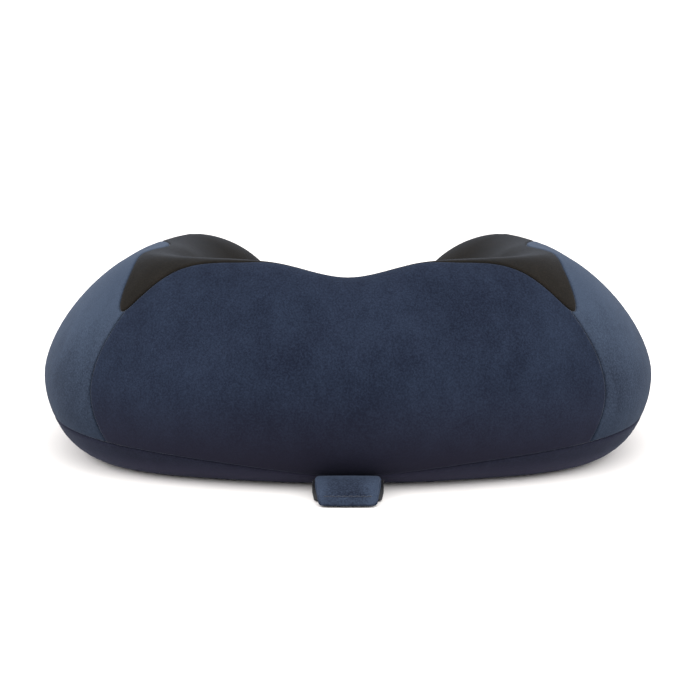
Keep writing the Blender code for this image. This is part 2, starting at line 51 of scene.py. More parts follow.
# ---- The pillow's surface, as in the design ----
NECK_AXIS_Y = 14.0
ARM_END = 128.0
TIP_LENGTH = 53.5
OUTER_RADIUS = ((0, 121.0), (30, 129.5), (60, 152.5), (90, 150.0), (ARM_END, 145.0))
NECK_RADIUS = ((0, 63.0), (45, 61.0), (90, 58.0), (ARM_END, 56.0))
CREST_INSET = ((0, 35.5), (57, 44.5), (90, 59.5), (ARM_END, 40.0))
CREST_HEIGHT = ((0, 96.0), (25, 102.5), (57, 101.5), (90, 97.0), (ARM_END, 92.0))
OUTER_WIDEST_Z = 37.5
NECK_WIDEST_Z = 45.0
OUTER_POWER = 1.55
NECK_POWER = 2.0
OUTER_FOOT_ROUND = 28.0
NECK_FOOT_ROUND = 9.0
SIDE_SEAM = 52.2
SIDE_SEAM_BOW = 3.0
SIDE_SEAM_BOW_REACH = 12.0
SIDE_SEAM_LOW_Z = 16.0
SIDE_SEAM_HIGH_Z = 78.0
TOP_SEAM_RISE = 86.0
TOP_SEAM_FALL = 20.0
TOP_SEAM_FALL_FROM = 103.0
BACK_CREST_SHIFT = 9.0
BACK_SHIFT_FADE = (20.0, 14.0)      # (angle at which it starts to fade, angle over which it fades)
ARM_CREST_SHIFT = 6.5
ARM_SHIFT_RISE = (60.0, 14.0)
ARM_SHIFT_FADE = (98.0, 30.0)
NOTCH_DEPTH = 41.0
NOTCH_ANGLE = 52.8
NOTCH_WIDTH = 5.2
BASE_SEAM_HEIGHT = ((0, 6.0), (30, 12.0), (62, 18.5), (ARM_END, 20.0))
NECK_BASE_SEAM_HEIGHT = 18.0
TIP_SEAM_TURN = 80.0
TIP_SEAM_RISE = 12.0
NECK_ROW_RISE = 60.0
NECK_ROW_TURN = 40.0        # turn past the tip seam over which the row of the top seam rises to that

# ---- Fineness of the grid ----
BACK_CELLS = 48             # from the back's middle to the side seam
SIDE_CELLS = 76             # from there to where the arm's tip starts
TIP_OUTER_CELLS = 24        # round the tip to the tip seam
TIP_NECK_CELLS = 28
FOOT_CELLS = 12             # from the base contact up to the base seam
LOW_CELLS = 12              # up to the widest line
SLOPE_CELLS = 34            # up to the top seam
CREST_CELLS = 12            # up to the crest
CROWD = 0.8                 # how much the lines crowd towards a seam: 0 is even
CORE_SHARE = 0.5            # the liner and the foam have this share of the lines, evenly spread
EASE = 0.07                 # share of a slope's width over which its crest and foot are eased

# ---- Sewing ----
SEAM_DEPTH = 1.1            # how far a panel's edge rolls in at a seam
SEAM_ROLL = 1.7             # width of that roll
SEAM_PULL = 0.35            # a wider, softer hollow that the seam's tension makes
SEAM_PULL_WIDTH = 7.0
PUCKER_DEPTH = 0.10         # small gathers across a seam
PUCKER_REACH = 3.5
PUCKER_SCALE = 0.16         # gathers to the millimetre along the seam
COVER_INSIDE = 1.7          # depth of the cover's inner face
PANEL_GAP = 0.06
RIM_LOWEST_Z = 1.0          # a panel's rim is closed above this height; the base contact lies below it
PANEL_SMOOTH = 70.0         # edges sharper than this many degrees show as edges
THREAD_DEPTH = 1.35
THREAD_RADIUS = 0.2
SEAM_STEP = 0.3             # distance between the points that stand for a seam
FOOT_FREE_Z = 11.0          # height over which the cover comes free of what it stands on
WELD = 0.001
BORDER_THICKNESS = 0.35     # share of a thin sheet's thickness that its border has

# ---- Zip slot in the base, and the window over it ----
ZIP_Y = NECK_AXIS_Y - 80.0
SLOT_HALF_LENGTH = 54.0
SLOT_HALF_WIDTH = 5.0
SLOT_CORNER = 3.0
WINDOW_HALF_LENGTH = 62.0
WINDOW_HALF_WIDTH = 10.5
WINDOW_CORNER = 3.0
CORNER_STEPS = 6
SLOT_LONG_STEPS = 48
SLOT_SHORT_STEPS = 5
LATTICE = 4.0               # spacing of the points in the flat underside
LIP_PROFILE = (             # (distance outside the slot's edge, height), from the outer face to the inner
    (1.8, 0.0), (1.1, 0.14), (0.5, 0.55), (0.14, 1.1), (0.0, 1.8), (0.0, 2.4), (0.12, 2.85), (0.45, 3.1),
    (0.85, 3.1), (1.15, 2.85), (1.3, 2.4), (1.45, 2.05), (1.65, 1.8), (1.9, 1.7))
SLOT_STITCH = (0.8, 0.3)    # (distance outside the slot's edge, height) of the row of stitches round it
SLOT_STITCH_STEP = 0.5
SLOT_STITCH_STEPS = (4, 7)  # steps in a stitch, and from one stitch's start to the next's
WINDOW_PROFILE = ((0.0, -1.0), (0.0, 6.6), (0.3, 7.4), (0.9, 7.85), (1.6, 8.0))   # (inset, height)
FOAM_WINDOW_INSET = 0.4

# ---- Zip ----
TAPE_HALF_LENGTH = 58.0
TAPE_EDGE = (0.9, 8.0)      # distances from the zip's line
TAPE_Z = 3.5
TAPE_THICKNESS = 0.4
TAPE_WAVE = 0.06
TAPE_WAVES = 0.35           # radians of wave to the millimetre
COIL_HALF_LENGTH = 57.0
COIL_PITCH = 1.5
COIL_LINE = (1.75, 4.6)     # (distance from the zip's line, height) of the coil's middle
COIL_REACH = (1.0, 0.42)    # how far the wire's centre swings across and up
COIL_WIRE = 0.28
COIL_STEPS = 10             # points to a turn
SLIDER_X = -46.0
PLATE_OUTLINE = ((-4.5, -2.1), (-2.9, -3.7), (3.6, -3.7), (4.5, -2.7), (4.5, 2.7), (3.6, 3.7), (-2.9, 3.7),
                 (-4.5, 2.1))
SLIDER_PLATES = ((2.1, 2.9), (5.7, 6.5))
SLIDER_BLOCKS = (           # (low corner, high corner) of the post, flanges, bridge legs and bridge
    ((-1.1, -0.35, 2.7), (1.1, 0.35, 5.9)),
    ((-2.8, -3.65, 4.1), (2.8, -3.15, 5.9)), ((-2.8, 3.15, 4.1), (2.8, 3.65, 5.9)),
    ((-1.9, -0.8, 0.6), (-1.35, 0.8, 2.3)), ((1.35, -0.8, 0.6), (1.9, 0.8, 2.3)),
    ((-1.9, -0.8, 0.45), (1.9, 0.8, 1.05)),
)
PULL_HALF = ((-0.35, -1.8), (3.2, -1.8), (5.0, -2.3), (11.5, -2.3), (13.0, -0.8))
PULL_Z = (1.25, 1.95)
PULL_EYE = ((0.35, -1.1), (2.6, -1.1), (2.6, 1.1), (0.35, 1.1))
PULL_HOLE = (9.4, 1.1)      # distance from the axis, radius
STOPS = (("left", -52.2), ("right", 45.2))
STOP_OUTLINE = ((-1.0, -3.0), (1.0, -3.0), (0.75, 0.0), (1.0, 3.0), (-1.0, 3.0), (-0.75, 0.0))
STOP_Z = (2.2, 3.0)

# ---- Loop at the back: places are (distance from the neck axis, height) ----
LOOP_OUTSIDE = ((111.8, 7.6), (115.5, 8.7), (121.0, 8.6), (128.0, 7.0), (134.0, 4.8), (137.8, 2.7),
                (138.6, 1.4), (137.0, 0.6), (132.0, 0.6), (129.5, 1.6), (118.0, 2.0), (112.0, 3.4),
                (109.7, 5.2))
LOOP_INSIDE = ((114.6, 5.3), (116.5, 5.9), (121.0, 5.8), (127.0, 4.6), (131.5, 3.4), (133.8, 2.7),
               (134.3, 2.5), (133.8, 2.3), (131.5, 2.5), (127.0, 3.0), (120.0, 3.5), (116.0, 4.2),
               (114.7, 4.7))
LOOP_ROOT = 109.5
LOOP_TIP = 138.6
LOOP_HALF_WIDTH = (15.5, 13.0)      # at the root and at the tip
LOOP_CORNERS = (3.5, 2.5)           # radii of its corners there
LOOP_CROWN = 0.12           # share of its thickness by which the middle stands higher than the edges
LOOP_EDGE = 1.5             # width over which its side edges are rounded
HEM_DISTANCE = 134.5
HEM_DEPTH = 0.45
HEM_WIDTH = 0.8
STITCH_LENGTH = 2.1
STITCH_PITCH = 2.75
STITCH_REACH = 9.7
STITCH_RADIUS = 0.28
STITCH_SINK = 0.15          # how far a stitch's middle lies below the loop's top there
STITCH_ARCH = 0.9           # height of its middle over its ends, for a length of 2
LOOP_STEPS = 5              # points drawn for each of the loop's outline points
LOOP_TOP_POINTS = 31        # of those, the ones along its top
BACKING_LINE = ((108.6, 5.0), (109.6, 3.4), (111.5, 1.9), (116.0, 1.05), (123.0, 0.9), (130.0, 0.85))
BACKING_THICKNESS = 0.8
BACKING_EXTRA = 1.4         # how far it shows beyond the loop on each side
BACKING_CORNER = 3.0
BACKING_FOLLOWS = (LOOP_ROOT + 5.0, 130.0)      # it is as wide as the loop is between these places

# ---- Care label ----
LABEL_LINE = ((65.3, 18.3), (64.6, 17.6), (63.8, 16.2), (63.4, 13.5), (63.3, 10.0), (63.5, 7.5),
              (63.9, 6.0))
LABEL_HALF_ARC = 7.5
LABEL_THICKNESS = 0.35
LABEL_CURL = 0.35

# ---- Layers inside ----
LINER_DEPTH = 1.85
LINER = 0.5
FOAM_DEPTH = 2.75

# ---- Cloth ----
CLOTH_VOXEL = 5.0
CLOTH_START_INSET = 0.6     # the simulated cover starts this much smaller between its seams
CLOTH_PRESSURE = 9.0
CLOTH_STRETCH = 5.0         # stiffness
CLOTH_SHEAR = 2.0
CLOTH_FRAMES = 20
CLOTH_CAP = 2.0             # no point may move further than this
CLOTH_SINK = 0.1            # and none may end further inside than this
CLOTH_FREE = 10.0           # distance from a seam over which the cloth comes free
CLOTH_HELD_REACH = 3.5      # cloth this near a seam is held
CLOTH_HELD_Z = 2.0          # and cloth this low
CLOTH_SPREAD = 6.0          # width over which neighbouring cloth points are averaged
CLOTH_NEIGHBOURS = 10

# ---- Stage and camera ----
CAMERA_ELEVATION = 12.0
CAMERA_DISTANCE = 1150.0
CAMERA_AIM = (0.0, NECK_AXIS_Y, 43.1)
SENSOR_WIDTH = 36.0
CAMERA_LENS = 117.4
CAMERA_SHIFT = 0.0029
FLOOR_REACH = 30.0
FLOOR_COLOUR = (0.875, 0.85, 0.835, 1.0)
SKY = 1.35
LAMPS = (                   # name, direction round from the back, height angle, distance, size, power
    ("lamp_over", 10.0, 68.0, 1.6, 1.4, 8.0),
    ("lamp_left", -75.0, 30.0, 1.5, 1.0, 14.0),
    ("lamp_right", 75.0, 30.0, 1.5, 1.0, 14.0),
)
LAMP_AIM = (0.0, 0.0, 0.05)
VELOUR_SHEEN = 0.10
PAINTED_SHEEN_SIDES = (0.0045, 0.0150)        # metres from the loop's middle over which painted sheen lightens its pile and the same along Y, at its root and beyond its hem, where it reaches only a share
PAINTED_SHEEN_ROOT = (-0.1080, -0.0985)       # and the same along Y, at its root
PAINTED_SHEEN_TIP = (-0.1205, -0.1222)        # and beyond its hem, where it reaches only a share
PAINTED_SHEEN_TIP_SHARE = 0.35
WAVES_PER_UNIT = 0.314      # Blender's wave texture has 20 / (2 pi) bands to the unit at scale 1


# ---- Small mathematics ----
def through(knots, x):
    """Value at x of the smooth curve through the knots, level at both ends."""
    xs = [knot[0] for knot in knots]
    ys = [knot[1] for knot in knots]
    last = len(xs) - 1
    slopes = [0.0] * (last + 1)
    for i in range(1, last):
        slopes[i] = (ys[i + 1] - ys[i - 1]) / (xs[i + 1] - xs[i - 1])
    x = min(max(x, xs[0]), xs[-1])
    i = max(k for k in range(last) if x >= xs[k])
    span = xs[i + 1] - xs[i]
    t = (x - xs[i]) / span
    start = (2 * t ** 3 - 3 * t ** 2 + 1) * ys[i] + (t ** 3 - 2 * t ** 2 + t) * span * slopes[i]
    end = (3 * t ** 2 - 2 * t ** 3) * ys[i + 1] + (t ** 3 - t ** 2) * span * slopes[i + 1]
    return start + end


def smooth_step(t):
    return t * t * (3.0 - 2.0 * t)


def mix(a, b, t):
    return a + (b - a) * t


def cos(degrees):
    return math.cos(math.radians(degrees))


def sin(degrees):
    return math.sin(math.radians(degrees))


def shares(count, crowd):
    """count + 1 shares from 0 to 1. They crowd towards 1, or towards 0 where crowd is negative."""
    x = np.linspace(0.0, 1.0, count + 1)
    return x + crowd * np.sin(np.pi * x) / np.pi


def unit(vectors):
    lengths = np.linalg.norm(vectors, axis=-1, keepdims=True)
    return vectors / np.maximum(lengths, 1e-12)


def tree_of(points):
    tree = KDTree(len(points))
    for i, point in enumerate(points):
        tree.insert(point, i)
    tree.balance()
    return tree


# ---- Sections of the surface ----
def top_seam_rise(arc):
    """Slope angle of the seam between navy and charcoal at an angle from the back's middle."""
    off = (arc - NOTCH_ANGLE) / NOTCH_WIDTH
    fall = (arc - TOP_SEAM_FALL_FROM) / (ARM_END - TOP_SEAM_FALL_FROM)
    fall = TOP_SEAM_FALL * smooth_step(max(fall, 0.0))
    return TOP_SEAM_RISE - NOTCH_DEPTH / (1.0 + off * off) - fall


def crest_shift(arc):
    """Slope angle past the crest, on the neck side, at which outer and neck side rows meet."""
    def risen(start, width):
        return smooth_step(min(max((arc - start) / width, 0.0), 1.0))

    back = 1.0 - risen(*BACK_SHIFT_FADE)
    arm = risen(*ARM_SHIFT_RISE) * (1.0 - risen(*ARM_SHIFT_FADE))
    return BACK_CREST_SHIFT * back + ARM_CREST_SHIFT * arm


def slope_share(part, power):
    """Inverse of a superellipse's power term, eased so that the curve is round where the term is 0."""
    low = EASE ** power
    high = (1.0 + EASE ** 2) ** (power / 2.0)
    return np.sqrt(np.maximum((low + part * (high - low)) ** (2.0 / power) - EASE ** 2, 0.0))


class Skin:
    """The pillow's outside as a ring of half sections, with a panel's name for each face."""

    def __init__(self, fineness, crowd):
        cells = [FOOT_CELLS, LOW_CELLS, SLOPE_CELLS, CREST_CELLS]
        foot, low, slope, crest = (max(2, round(count * fineness)) for count in cells)
        self.fineness, self.crowd = fineness, crowd
        self.foot, self.low = shares(foot, crowd), shares(low, -crowd)[1:]
        self.slope, self.crest = shares(slope, crowd)[1:], shares(crest, -crowd)[1:]
        self.base_seam_row = foot
        self.top_seam_row = foot + low + slope
        self.crest_row = self.top_seam_row + crest
        half = self.half_stations()
        left = [(arc, turn, -1, after[2]) for (arc, turn, _panel), after in zip(half, half[1:])]
        self.stations = [(arc, turn, 1, panel) for arc, turn, panel in half] + left[:0:-1]
        self.place_points()
        self.make_faces()
        self.normals = self.point_normals(self.points)

    def half_stations(self):
        """(arc, turn, panel above the base seam) round one half, back's middle to neck side's middle.

        The panel is that of the cells between a station and the one before it.
        """
        cells = [BACK_CELLS, SIDE_CELLS, TIP_OUTER_CELLS, TIP_NECK_CELLS]
        back, side, tip, tip_neck = (round(count * self.fineness) for count in cells)
        arcs = [SIDE_SEAM * t for t in shares(back, self.crowd)]
        stations = [(arc, 0.0, "back_panel") for arc in arcs]
        arm = [mix(SIDE_SEAM, ARM_END, t) for t in shares(side, -self.crowd)][1:]
        stations += [(arc, 0.0, "side_panel") for arc in arm]
        turns = [TIP_SEAM_TURN * t for t in shares(tip, self.crowd)][1:]
        stations += [(ARM_END, turn, "side_panel") for turn in turns]
        turns = [mix(TIP_SEAM_TURN, 180.0, t) for t in shares(tip_neck, -self.crowd)][1:]
        stations += [(ARM_END, turn, "neck_panel") for turn in turns]
        stations += [(arc, 180.0, "neck_panel") for arc in reversed(arcs + arm[:-1])]
        return stations

    def section_line(self, arc, turn, side):
        """Points of one half section, from the base contact up to the crest.

        arc is the angle from the back's middle, and turn is how far the section has swung round the
        arm's tip: 0 on the outer side, 180 on the neck side.
        """
        share = smooth_step(turn / 180.0)
        inset = through(CREST_INSET, arc)
        crest_radius = through(OUTER_RADIUS, arc) - inset
        neck_reach = crest_radius - through(NECK_RADIUS, arc)
        radial = (inset if turn < 90.0 else neck_reach) * cos(turn)
        along = TIP_LENGTH * sin(turn)
        crest_z = through(CREST_HEIGHT, arc)
        widest_z = mix(OUTER_WIDEST_Z, NECK_WIDEST_Z, share)
        power = mix(OUTER_POWER, NECK_POWER, share)
        foot = mix(OUTER_FOOT_ROUND, NECK_FOOT_ROUND, share) / math.hypot(radial, along)
        base_seam_z = mix(through(BASE_SEAM_HEIGHT, arc), NECK_BASE_SEAM_HEIGHT, share)
        top_seam = top_seam_rise(arc)
        if turn <= TIP_SEAM_TURN:
            top_seam = mix(top_seam, TIP_SEAM_RISE, smooth_step(turn / TIP_SEAM_TURN))
        else:
            up = min((turn - TIP_SEAM_TURN) / NECK_ROW_TURN, 1.0)
            top_seam = mix(TIP_SEAM_RISE, NECK_ROW_RISE, up)
        shift = crest_shift(arc)
        meeting = 90.0 - shift
        if turn == 0.0:
            top_seam += shift
            meeting = 90.0 + shift
        seam_dip = math.degrees(math.asin(1.0 - base_seam_z / widest_z))
        dip = np.concatenate([mix(90.0, seam_dip, self.foot), mix(seam_dip, 0.0, self.low)])
        rise = np.concatenate([top_seam * self.slope, mix(top_seam, meeting, self.crest)])
        past = rise > 90.0
        dip, rise = np.radians(dip), np.radians(rise)
        slope_out = slope_share(np.cos(rise) ** 2, power)
        slope_z = mix(widest_z, crest_z, slope_share(np.sin(rise) ** 2, power))
        if past.any():
            beyond = rise[past]
            slope_out[past] = -neck_reach / inset * slope_share(np.cos(beyond) ** 2, NECK_POWER)
            up = slope_share(np.sin(beyond) ** 2, NECK_POWER)
            slope_z[past] = mix(NECK_WIDEST_Z, crest_z, up)
        out = np.concatenate([1.0 - foot * (1.0 - np.cos(dip)), slope_out])
        z = np.concatenate([widest_z * (1.0 - np.sin(dip)), slope_z])
        angle = np.full(len(z), float(arc))
        if turn == 0.0:
            height = (z - SIDE_SEAM_LOW_Z) / (SIDE_SEAM_HIGH_Z - SIDE_SEAM_LOW_Z)
            bow = SIDE_SEAM_BOW * np.sin(np.pi * np.clip(height, 0.0, 1.0))
            bow *= math.exp(-((arc - SIDE_SEAM) / SIDE_SEAM_BOW_REACH) ** 2)
            angle += bow * np.clip(2.0 * out, 0.0, 1.0)
        angle = np.radians(angle)
        radius = crest_radius + radial * out
        x = radius * np.sin(angle) + along * out * np.cos(angle)
        y = -radius * np.cos(angle) + along * out * np.sin(angle)
        return np.stack([side * x, NECK_AXIS_Y + y, z], axis=1)

    def place_points(self):
        """Points of all sections; sections of one arc and side share the point on the crest."""
        points, crests = [], {}
        self.index = np.zeros((len(self.stations), self.crest_row + 1), int)
        for k, (arc, turn, side, _panel) in enumerate(self.stations):
            line = self.section_line(arc, turn, side)
            crest = (arc, side if arc else 0)
            if crest not in crests:
                crests[crest] = len(points)
                points.append(line[-1])
            self.index[k] = [len(points) + row for row in range(self.crest_row)] + [crests[crest]]
            points += list(line[:-1])
        self.points = np.array(points)
        self.base_ring = self.index[:, 0]

    def make_faces(self):
        self.faces, self.panels = [], []
        for k in range(len(self.stations)):
            after = (k + 1) % len(self.stations)
            for row in range(self.crest_row):
                corners = (self.index[k, row], self.index[after, row],
                           self.index[after, row + 1], self.index[k, row + 1])
                self.faces.append([int(corner) for corner in dict.fromkeys(corners)])
                self.panels.append(self.panel_of(after, row))

    def panel_of(self, k, row):
        """Panel of the cell between station k and the one before it, above a row."""
        _arc, _turn, side, panel = self.stations[k]
        if row < self.base_seam_row:
            return "base_panel"
        if row >= self.top_seam_row:
            return "neck_panel"
        if panel == "side_panel":
            return "side_panel_left" if side < 0 else "side_panel_right"
        return panel

    def point_normals(self, points):
        normals = np.zeros_like(points)
        for count in (3, 4):
            faces = np.array([face for face in self.faces if len(face) == count])
            area = np.cross(points[faces[:, 2]] - points[faces[:, 0]],
                            points[faces[:, -1]] - points[faces[:, 1]])
            for i in range(count):
                np.add.at(normals, faces[:, i], area)
        normals = unit(normals)
        normals[self.base_ring] = (0.0, 0.0, -1.0)
        return normals

    def station(self, arc, turn, side):
        """Number of the station nearest to an arc and a turn on one side."""
        def off(k):
            found = self.stations[k]
            return found[2] != side, abs(found[0] - arc) + abs(found[1] - turn)

        return min(range(len(self.stations)), key=off)

    def seams(self):
        """The seams as lists of point numbers: (name, numbers, whether the line is a closed ring)."""
        found = [("base_seam", list(self.index[:, self.base_seam_row]), True)]
        for name, side in (("right", 1), ("left", -1)):
            for kind, arc, turn in (("side", SIDE_SEAM, 0.0), ("tip", ARM_END, TIP_SEAM_TURN)):
                line = self.index[self.station(arc, turn, side)]
                numbers = list(line[self.base_seam_row:self.top_seam_row + 1])
                found.append((kind + "_seam_" + name, numbers, False))
        last = self.station(ARM_END, TIP_SEAM_TURN, 1)
        over = [self.index[k, self.top_seam_row] for k in range(-last, last + 1)]
        found.append(("top_seam", over, False))
        return found


# ---- Lines and tubes ----
def finer(points, step, closed=False):
    """The line through the points again, with points at most step apart."""
    points = [np.array(point, float) for point in points]
    if closed:
        points.append(points[0])
    out = []
    for a, b in zip(points, points[1:]):
        count = max(1, math.ceil(np.linalg.norm(b - a) / step))
        out += [mix(a, b, i / count) for i in range(count)]
    if not closed:
        out.append(points[-1])
    return np.array(out)


def rounded(points, count, closed=False):
    """Catmull-Rom curve through the points, with count steps between neighbours."""
    points = np.array(points, float)
    if closed:
        ends = np.concatenate([points[-1:], points, points[:2]])
    else:
        ends = np.concatenate([2 * points[:1] - points[1:2], points, 2 * points[-1:] - points[-2:-1]])
    t = np.linspace(0.0, 1.0, count, endpoint=False)[:, None]
    out = []
    for a, b, c, d in zip(ends, ends[1:], ends[2:], ends[3:]):
        out.append(b + 0.5 * t * (c - a + t * (2 * a - 5 * b + 4 * c - d + t * (3 * (b - c) + d - a))))
    if not closed:
        out.append(points[-1:])
    return np.concatenate(out)


def placed(name, data):
    """New object in the scene."""
    made = bpy.data.objects.new(name, data)
    bpy.context.scene.collection.objects.link(made)
    return made


def evaluated_mesh(piece):
    """What a piece's modifiers make of its mesh."""
    return bpy.data.meshes.new_from_object(piece.evaluated_get(bpy.context.evaluated_depsgraph_get()))


class Patchwork:
    """Points and faces in millimetres, gathered piece by piece and welded into one mesh."""

    def __init__(self, turned=False):
        self.points, self.faces, self.turned = [], [], turned

    def add(self, points, faces, flip=False):
        """Faces of point numbers, with those of the points that they use."""
        places = {}
        for face in faces:
            for i in face:
                if i not in places:
                    places[i] = len(self.points)
                    self.points.append(tuple(points[i]))
            corners = [places[i] for i in face]
            self.faces.append(corners[::-1] if flip else corners)

    def add_rings(self, rings, closed_round=True, closed_along=False):
        """Faces between rings of equally many points."""
        rings = np.array(rings)
        along, count = rings.shape[:2]
        faces = []
        for i in range(along if closed_along else along - 1):
            for j in range(count if closed_round else count - 1):
                a, b = i * count, (i + 1) % along * count
                k = (j + 1) % count
                faces.append([a + j, a + k, b + k, b + j])
        self.add(rings.reshape(-1, 3), faces)

    def add_capped(self, rings):
        """Faces between rings, and one face over each end."""
        self.add_rings(rings)
        for ring in (rings[0], rings[-1]):
            self.add(ring, [range(len(ring))])

    def add_layers(self, above, below, faces, rim):
        """The same faces in two layers of points, joined along the rim's edges."""
        self.add(above, faces)
        self.add(below, faces)
        count = len(above)
        between = [[start, end, count + end, count + start] for start, end in rim]
        self.add(np.concatenate([above, below]), between)

    def add_tube(self, line, radius, sides=8, closed=False):
        """Round tube along a line, with domed ends where it is open."""
        line = np.array(line, float)
        if closed:
            along = np.roll(line, -1, axis=0) - np.roll(line, 1, axis=0)
        else:
            along = np.gradient(line, axis=0)
        along = unit(along)
        side = np.cross(along[0], (0.0, 0.0, 1.0))
        if np.linalg.norm(side) < 0.1:
            side = np.cross(along[0], (1.0, 0.0, 0.0))
        sizes = [radius] * len(line)
        centres = list(line)
        directions = list(along)
        if not closed:
            centres = [line[0] - 0.9 * radius * along[0], line[0] - 0.5 * radius * along[0]] + centres
            centres += [line[-1] + 0.5 * radius * along[-1], line[-1] + 0.9 * radius * along[-1]]
            sizes = [0.4 * radius, 0.85 * radius] + sizes + [0.85 * radius, 0.4 * radius]
            directions = [along[0]] * 2 + directions + [along[-1]] * 2
        rings = []
        for centre, direction, size in zip(centres, directions, sizes):
            side = side - direction * np.dot(side, direction)
            side = side / np.linalg.norm(side)
            up = np.cross(side, direction)
            angles = [360.0 * i / sides for i in range(sides)]
            rings.append([centre + size * (side * cos(a) + up * sin(a)) for a in angles])
        if closed:
            self.add_rings(rings, closed_along=True)
        else:
            self.add_capped(rings)

    def mesh(self, name):
        """One welded mesh with its faces outwards, unless turned says that they already are."""
        made = bpy.data.meshes.new(name)
        made.from_pydata([Vector(point) * MM for point in self.points], [], self.faces)
        shape = bmesh.new()
        shape.from_mesh(made)
        bmesh.ops.remove_doubles(shape, verts=shape.verts, dist=WELD * MM)
        if not self.turned:
            bmesh.ops.recalc_face_normals(shape, faces=shape.faces)
        shape.to_mesh(made)
        shape.free()
        return made

    def piece(self, name, finish, smooth_angle=None):
        """Object of the welded mesh, shaded smooth up to an angle between its faces."""
        mesh = self.mesh(name)
        mesh.shade_smooth()
        if smooth_angle:
            mesh.set_sharp_from_angle(angle=math.radians(smooth_angle))
        mesh.materials.append(finish)
        return placed(name, mesh)


# ---- Sewing and cloth ----
def seam_lines(skin):
    """Points close together along all seams."""
    lines = [finer(skin.points[numbers], SEAM_STEP, closed) for _name, numbers, closed in skin.seams()]
    return np.concatenate(lines)


def swollen(skin, seam_tree):
    """How far cloth under pressure stands off the surface at each point, held at seams and base."""
    def free(points):
        away = np.array([min(seam_tree.find(point)[2], max(point[2], 0.0)) for point in points])
        return 1.0 - np.exp(-(away / CLOTH_FREE) ** 2)

    inset = CLOTH_START_INSET * free(skin.points)
    start = Patchwork()
    start.add(skin.points - skin.normals * inset[:, None], skin.faces + [list(skin.base_ring)])
    rough = placed("cover_rough", start.mesh("cover_rough"))
    remesh = rough.modifiers.new("remesh", "REMESH")
    remesh.mode = "VOXEL"
    remesh.voxel_size = CLOTH_VOXEL * MM
    cloth_mesh = evaluated_mesh(rough)
    bpy.data.objects.remove(rough)
    cover = placed("cover_cloth", cloth_mesh)
    before = np.array([vertex.co for vertex in cloth_mesh.vertices]) / MM
    normals = np.array([vertex.normal for vertex in cloth_mesh.vertices])
    held = cover.vertex_groups.new(name="held")
    for i, point in enumerate(before):
        if point[2] < CLOTH_HELD_Z or seam_tree.find(point)[2] < CLOTH_HELD_REACH:
            held.add([i], 1.0, "REPLACE")
    cloth = cover.modifiers.new("cloth", "CLOTH")
    cloth.settings.vertex_group_mass = "held"
    cloth.settings.use_pressure = True
    cloth.settings.uniform_pressure_force = CLOTH_PRESSURE
    cloth.settings.effector_weights.gravity = 0.0
    cloth.settings.tension_stiffness = cloth.settings.compression_stiffness = CLOTH_STRETCH
    cloth.settings.shear_stiffness = CLOTH_SHEAR
    for number in range(1, CLOTH_FRAMES + 1):
        bpy.context.scene.frame_set(number)
    eased = cover.evaluated_get(bpy.context.evaluated_depsgraph_get())
    after = np.array([vertex.co for vertex in eased.data.vertices]) / MM
    bpy.context.scene.frame_set(1)
    bpy.data.objects.remove(cover)
    lift = np.clip(((after - before) * normals).sum(axis=1), -CLOTH_CAP, CLOTH_CAP)
    cloth_tree = tree_of(before)
    off = np.zeros(len(skin.points))
    for i, point in enumerate(skin.points):
        near = cloth_tree.find_n(point, CLOTH_NEIGHBOURS)
        weights = [math.exp(-(distance / CLOTH_SPREAD) ** 2) for _co, _j, distance in near]
        off[i] = sum(w * lift[j] for w, (_co, j, _distance) in zip(weights, near)) / sum(weights)
    return np.clip(off * free(skin.points) - inset, -CLOTH_SINK, CLOTH_CAP)


def sewn_offsets(skin, seam_tree):
    """How far each point moves out: rolled edges at the seams, a soft hollow along them, and gathers."""
    off = np.zeros(len(skin.points))
    for i, point in enumerate(skin.points):
        on_seam, _j, distance = seam_tree.find(point)
        roll = 1.0 - min(distance / SEAM_ROLL, 1.0)
        off[i] -= SEAM_DEPTH * (1.0 - math.sqrt(1.0 - roll ** 2))
        off[i] -= SEAM_PULL * math.exp(-(distance / SEAM_PULL_WIDTH) ** 2)
        gather = noise.noise(on_seam * PUCKER_SCALE)
        off[i] += PUCKER_DEPTH * gather * math.exp(-distance / PUCKER_REACH)
    return off * smooth_step(np.clip(skin.points[:, 2] / FOOT_FREE_Z, 0.0, 1.0))


def rim_of(faces):
    """Directed edges that only one face uses, which are the rim of a patch."""
    edges = {}
    for face in faces:
        for start, end in zip(face, face[1:] + face[:1]):
            if (end, start) in edges:
                del edges[(end, start)]
            else:
                edges[(start, end)] = True
    return list(edges)


def drawn_in(points, normals, rim):
    """The points again, with those on the rim moved inwards along the patch by PANEL_GAP."""
    pull = np.zeros_like(points)
    for start, end in rim:
        inward = unit(np.cross(normals[[start, end]], points[end] - points[start]))
        pull[[start, end]] += inward
    return points + PANEL_GAP * unit(pull)


def add_shell(patch, faces, outer, inner, skin):
    """Add a panel between two layers of points, closed along its rim at the seams; gives its layers."""
    rim = [edge for edge in rim_of(faces) if skin.points[edge[0]][2] > RIM_LOWEST_Z]
    outer, inner = drawn_in(outer, skin.normals, rim), drawn_in(inner, skin.normals, rim)
    patch.add_layers(outer, inner, faces, rim)
    return outer, inner


# ---- Flat underside ----
def inside(points, ring):
    """Whether each flat point lies inside a closed ring."""
    count = np.zeros(len(points), int)
    for a, b in zip(ring, np.roll(ring, -1, axis=0)):
        spans = (a[1] > points[:, 1]) != (b[1] > points[:, 1])
        rise = b[1] - a[1] if b[1] != a[1] else 1.0
        cross_x = a[0] + (points[:, 1] - a[1]) * (b[0] - a[0]) / rise
        count += spans & (points[:, 0] < cross_x)
    return count % 2 == 1


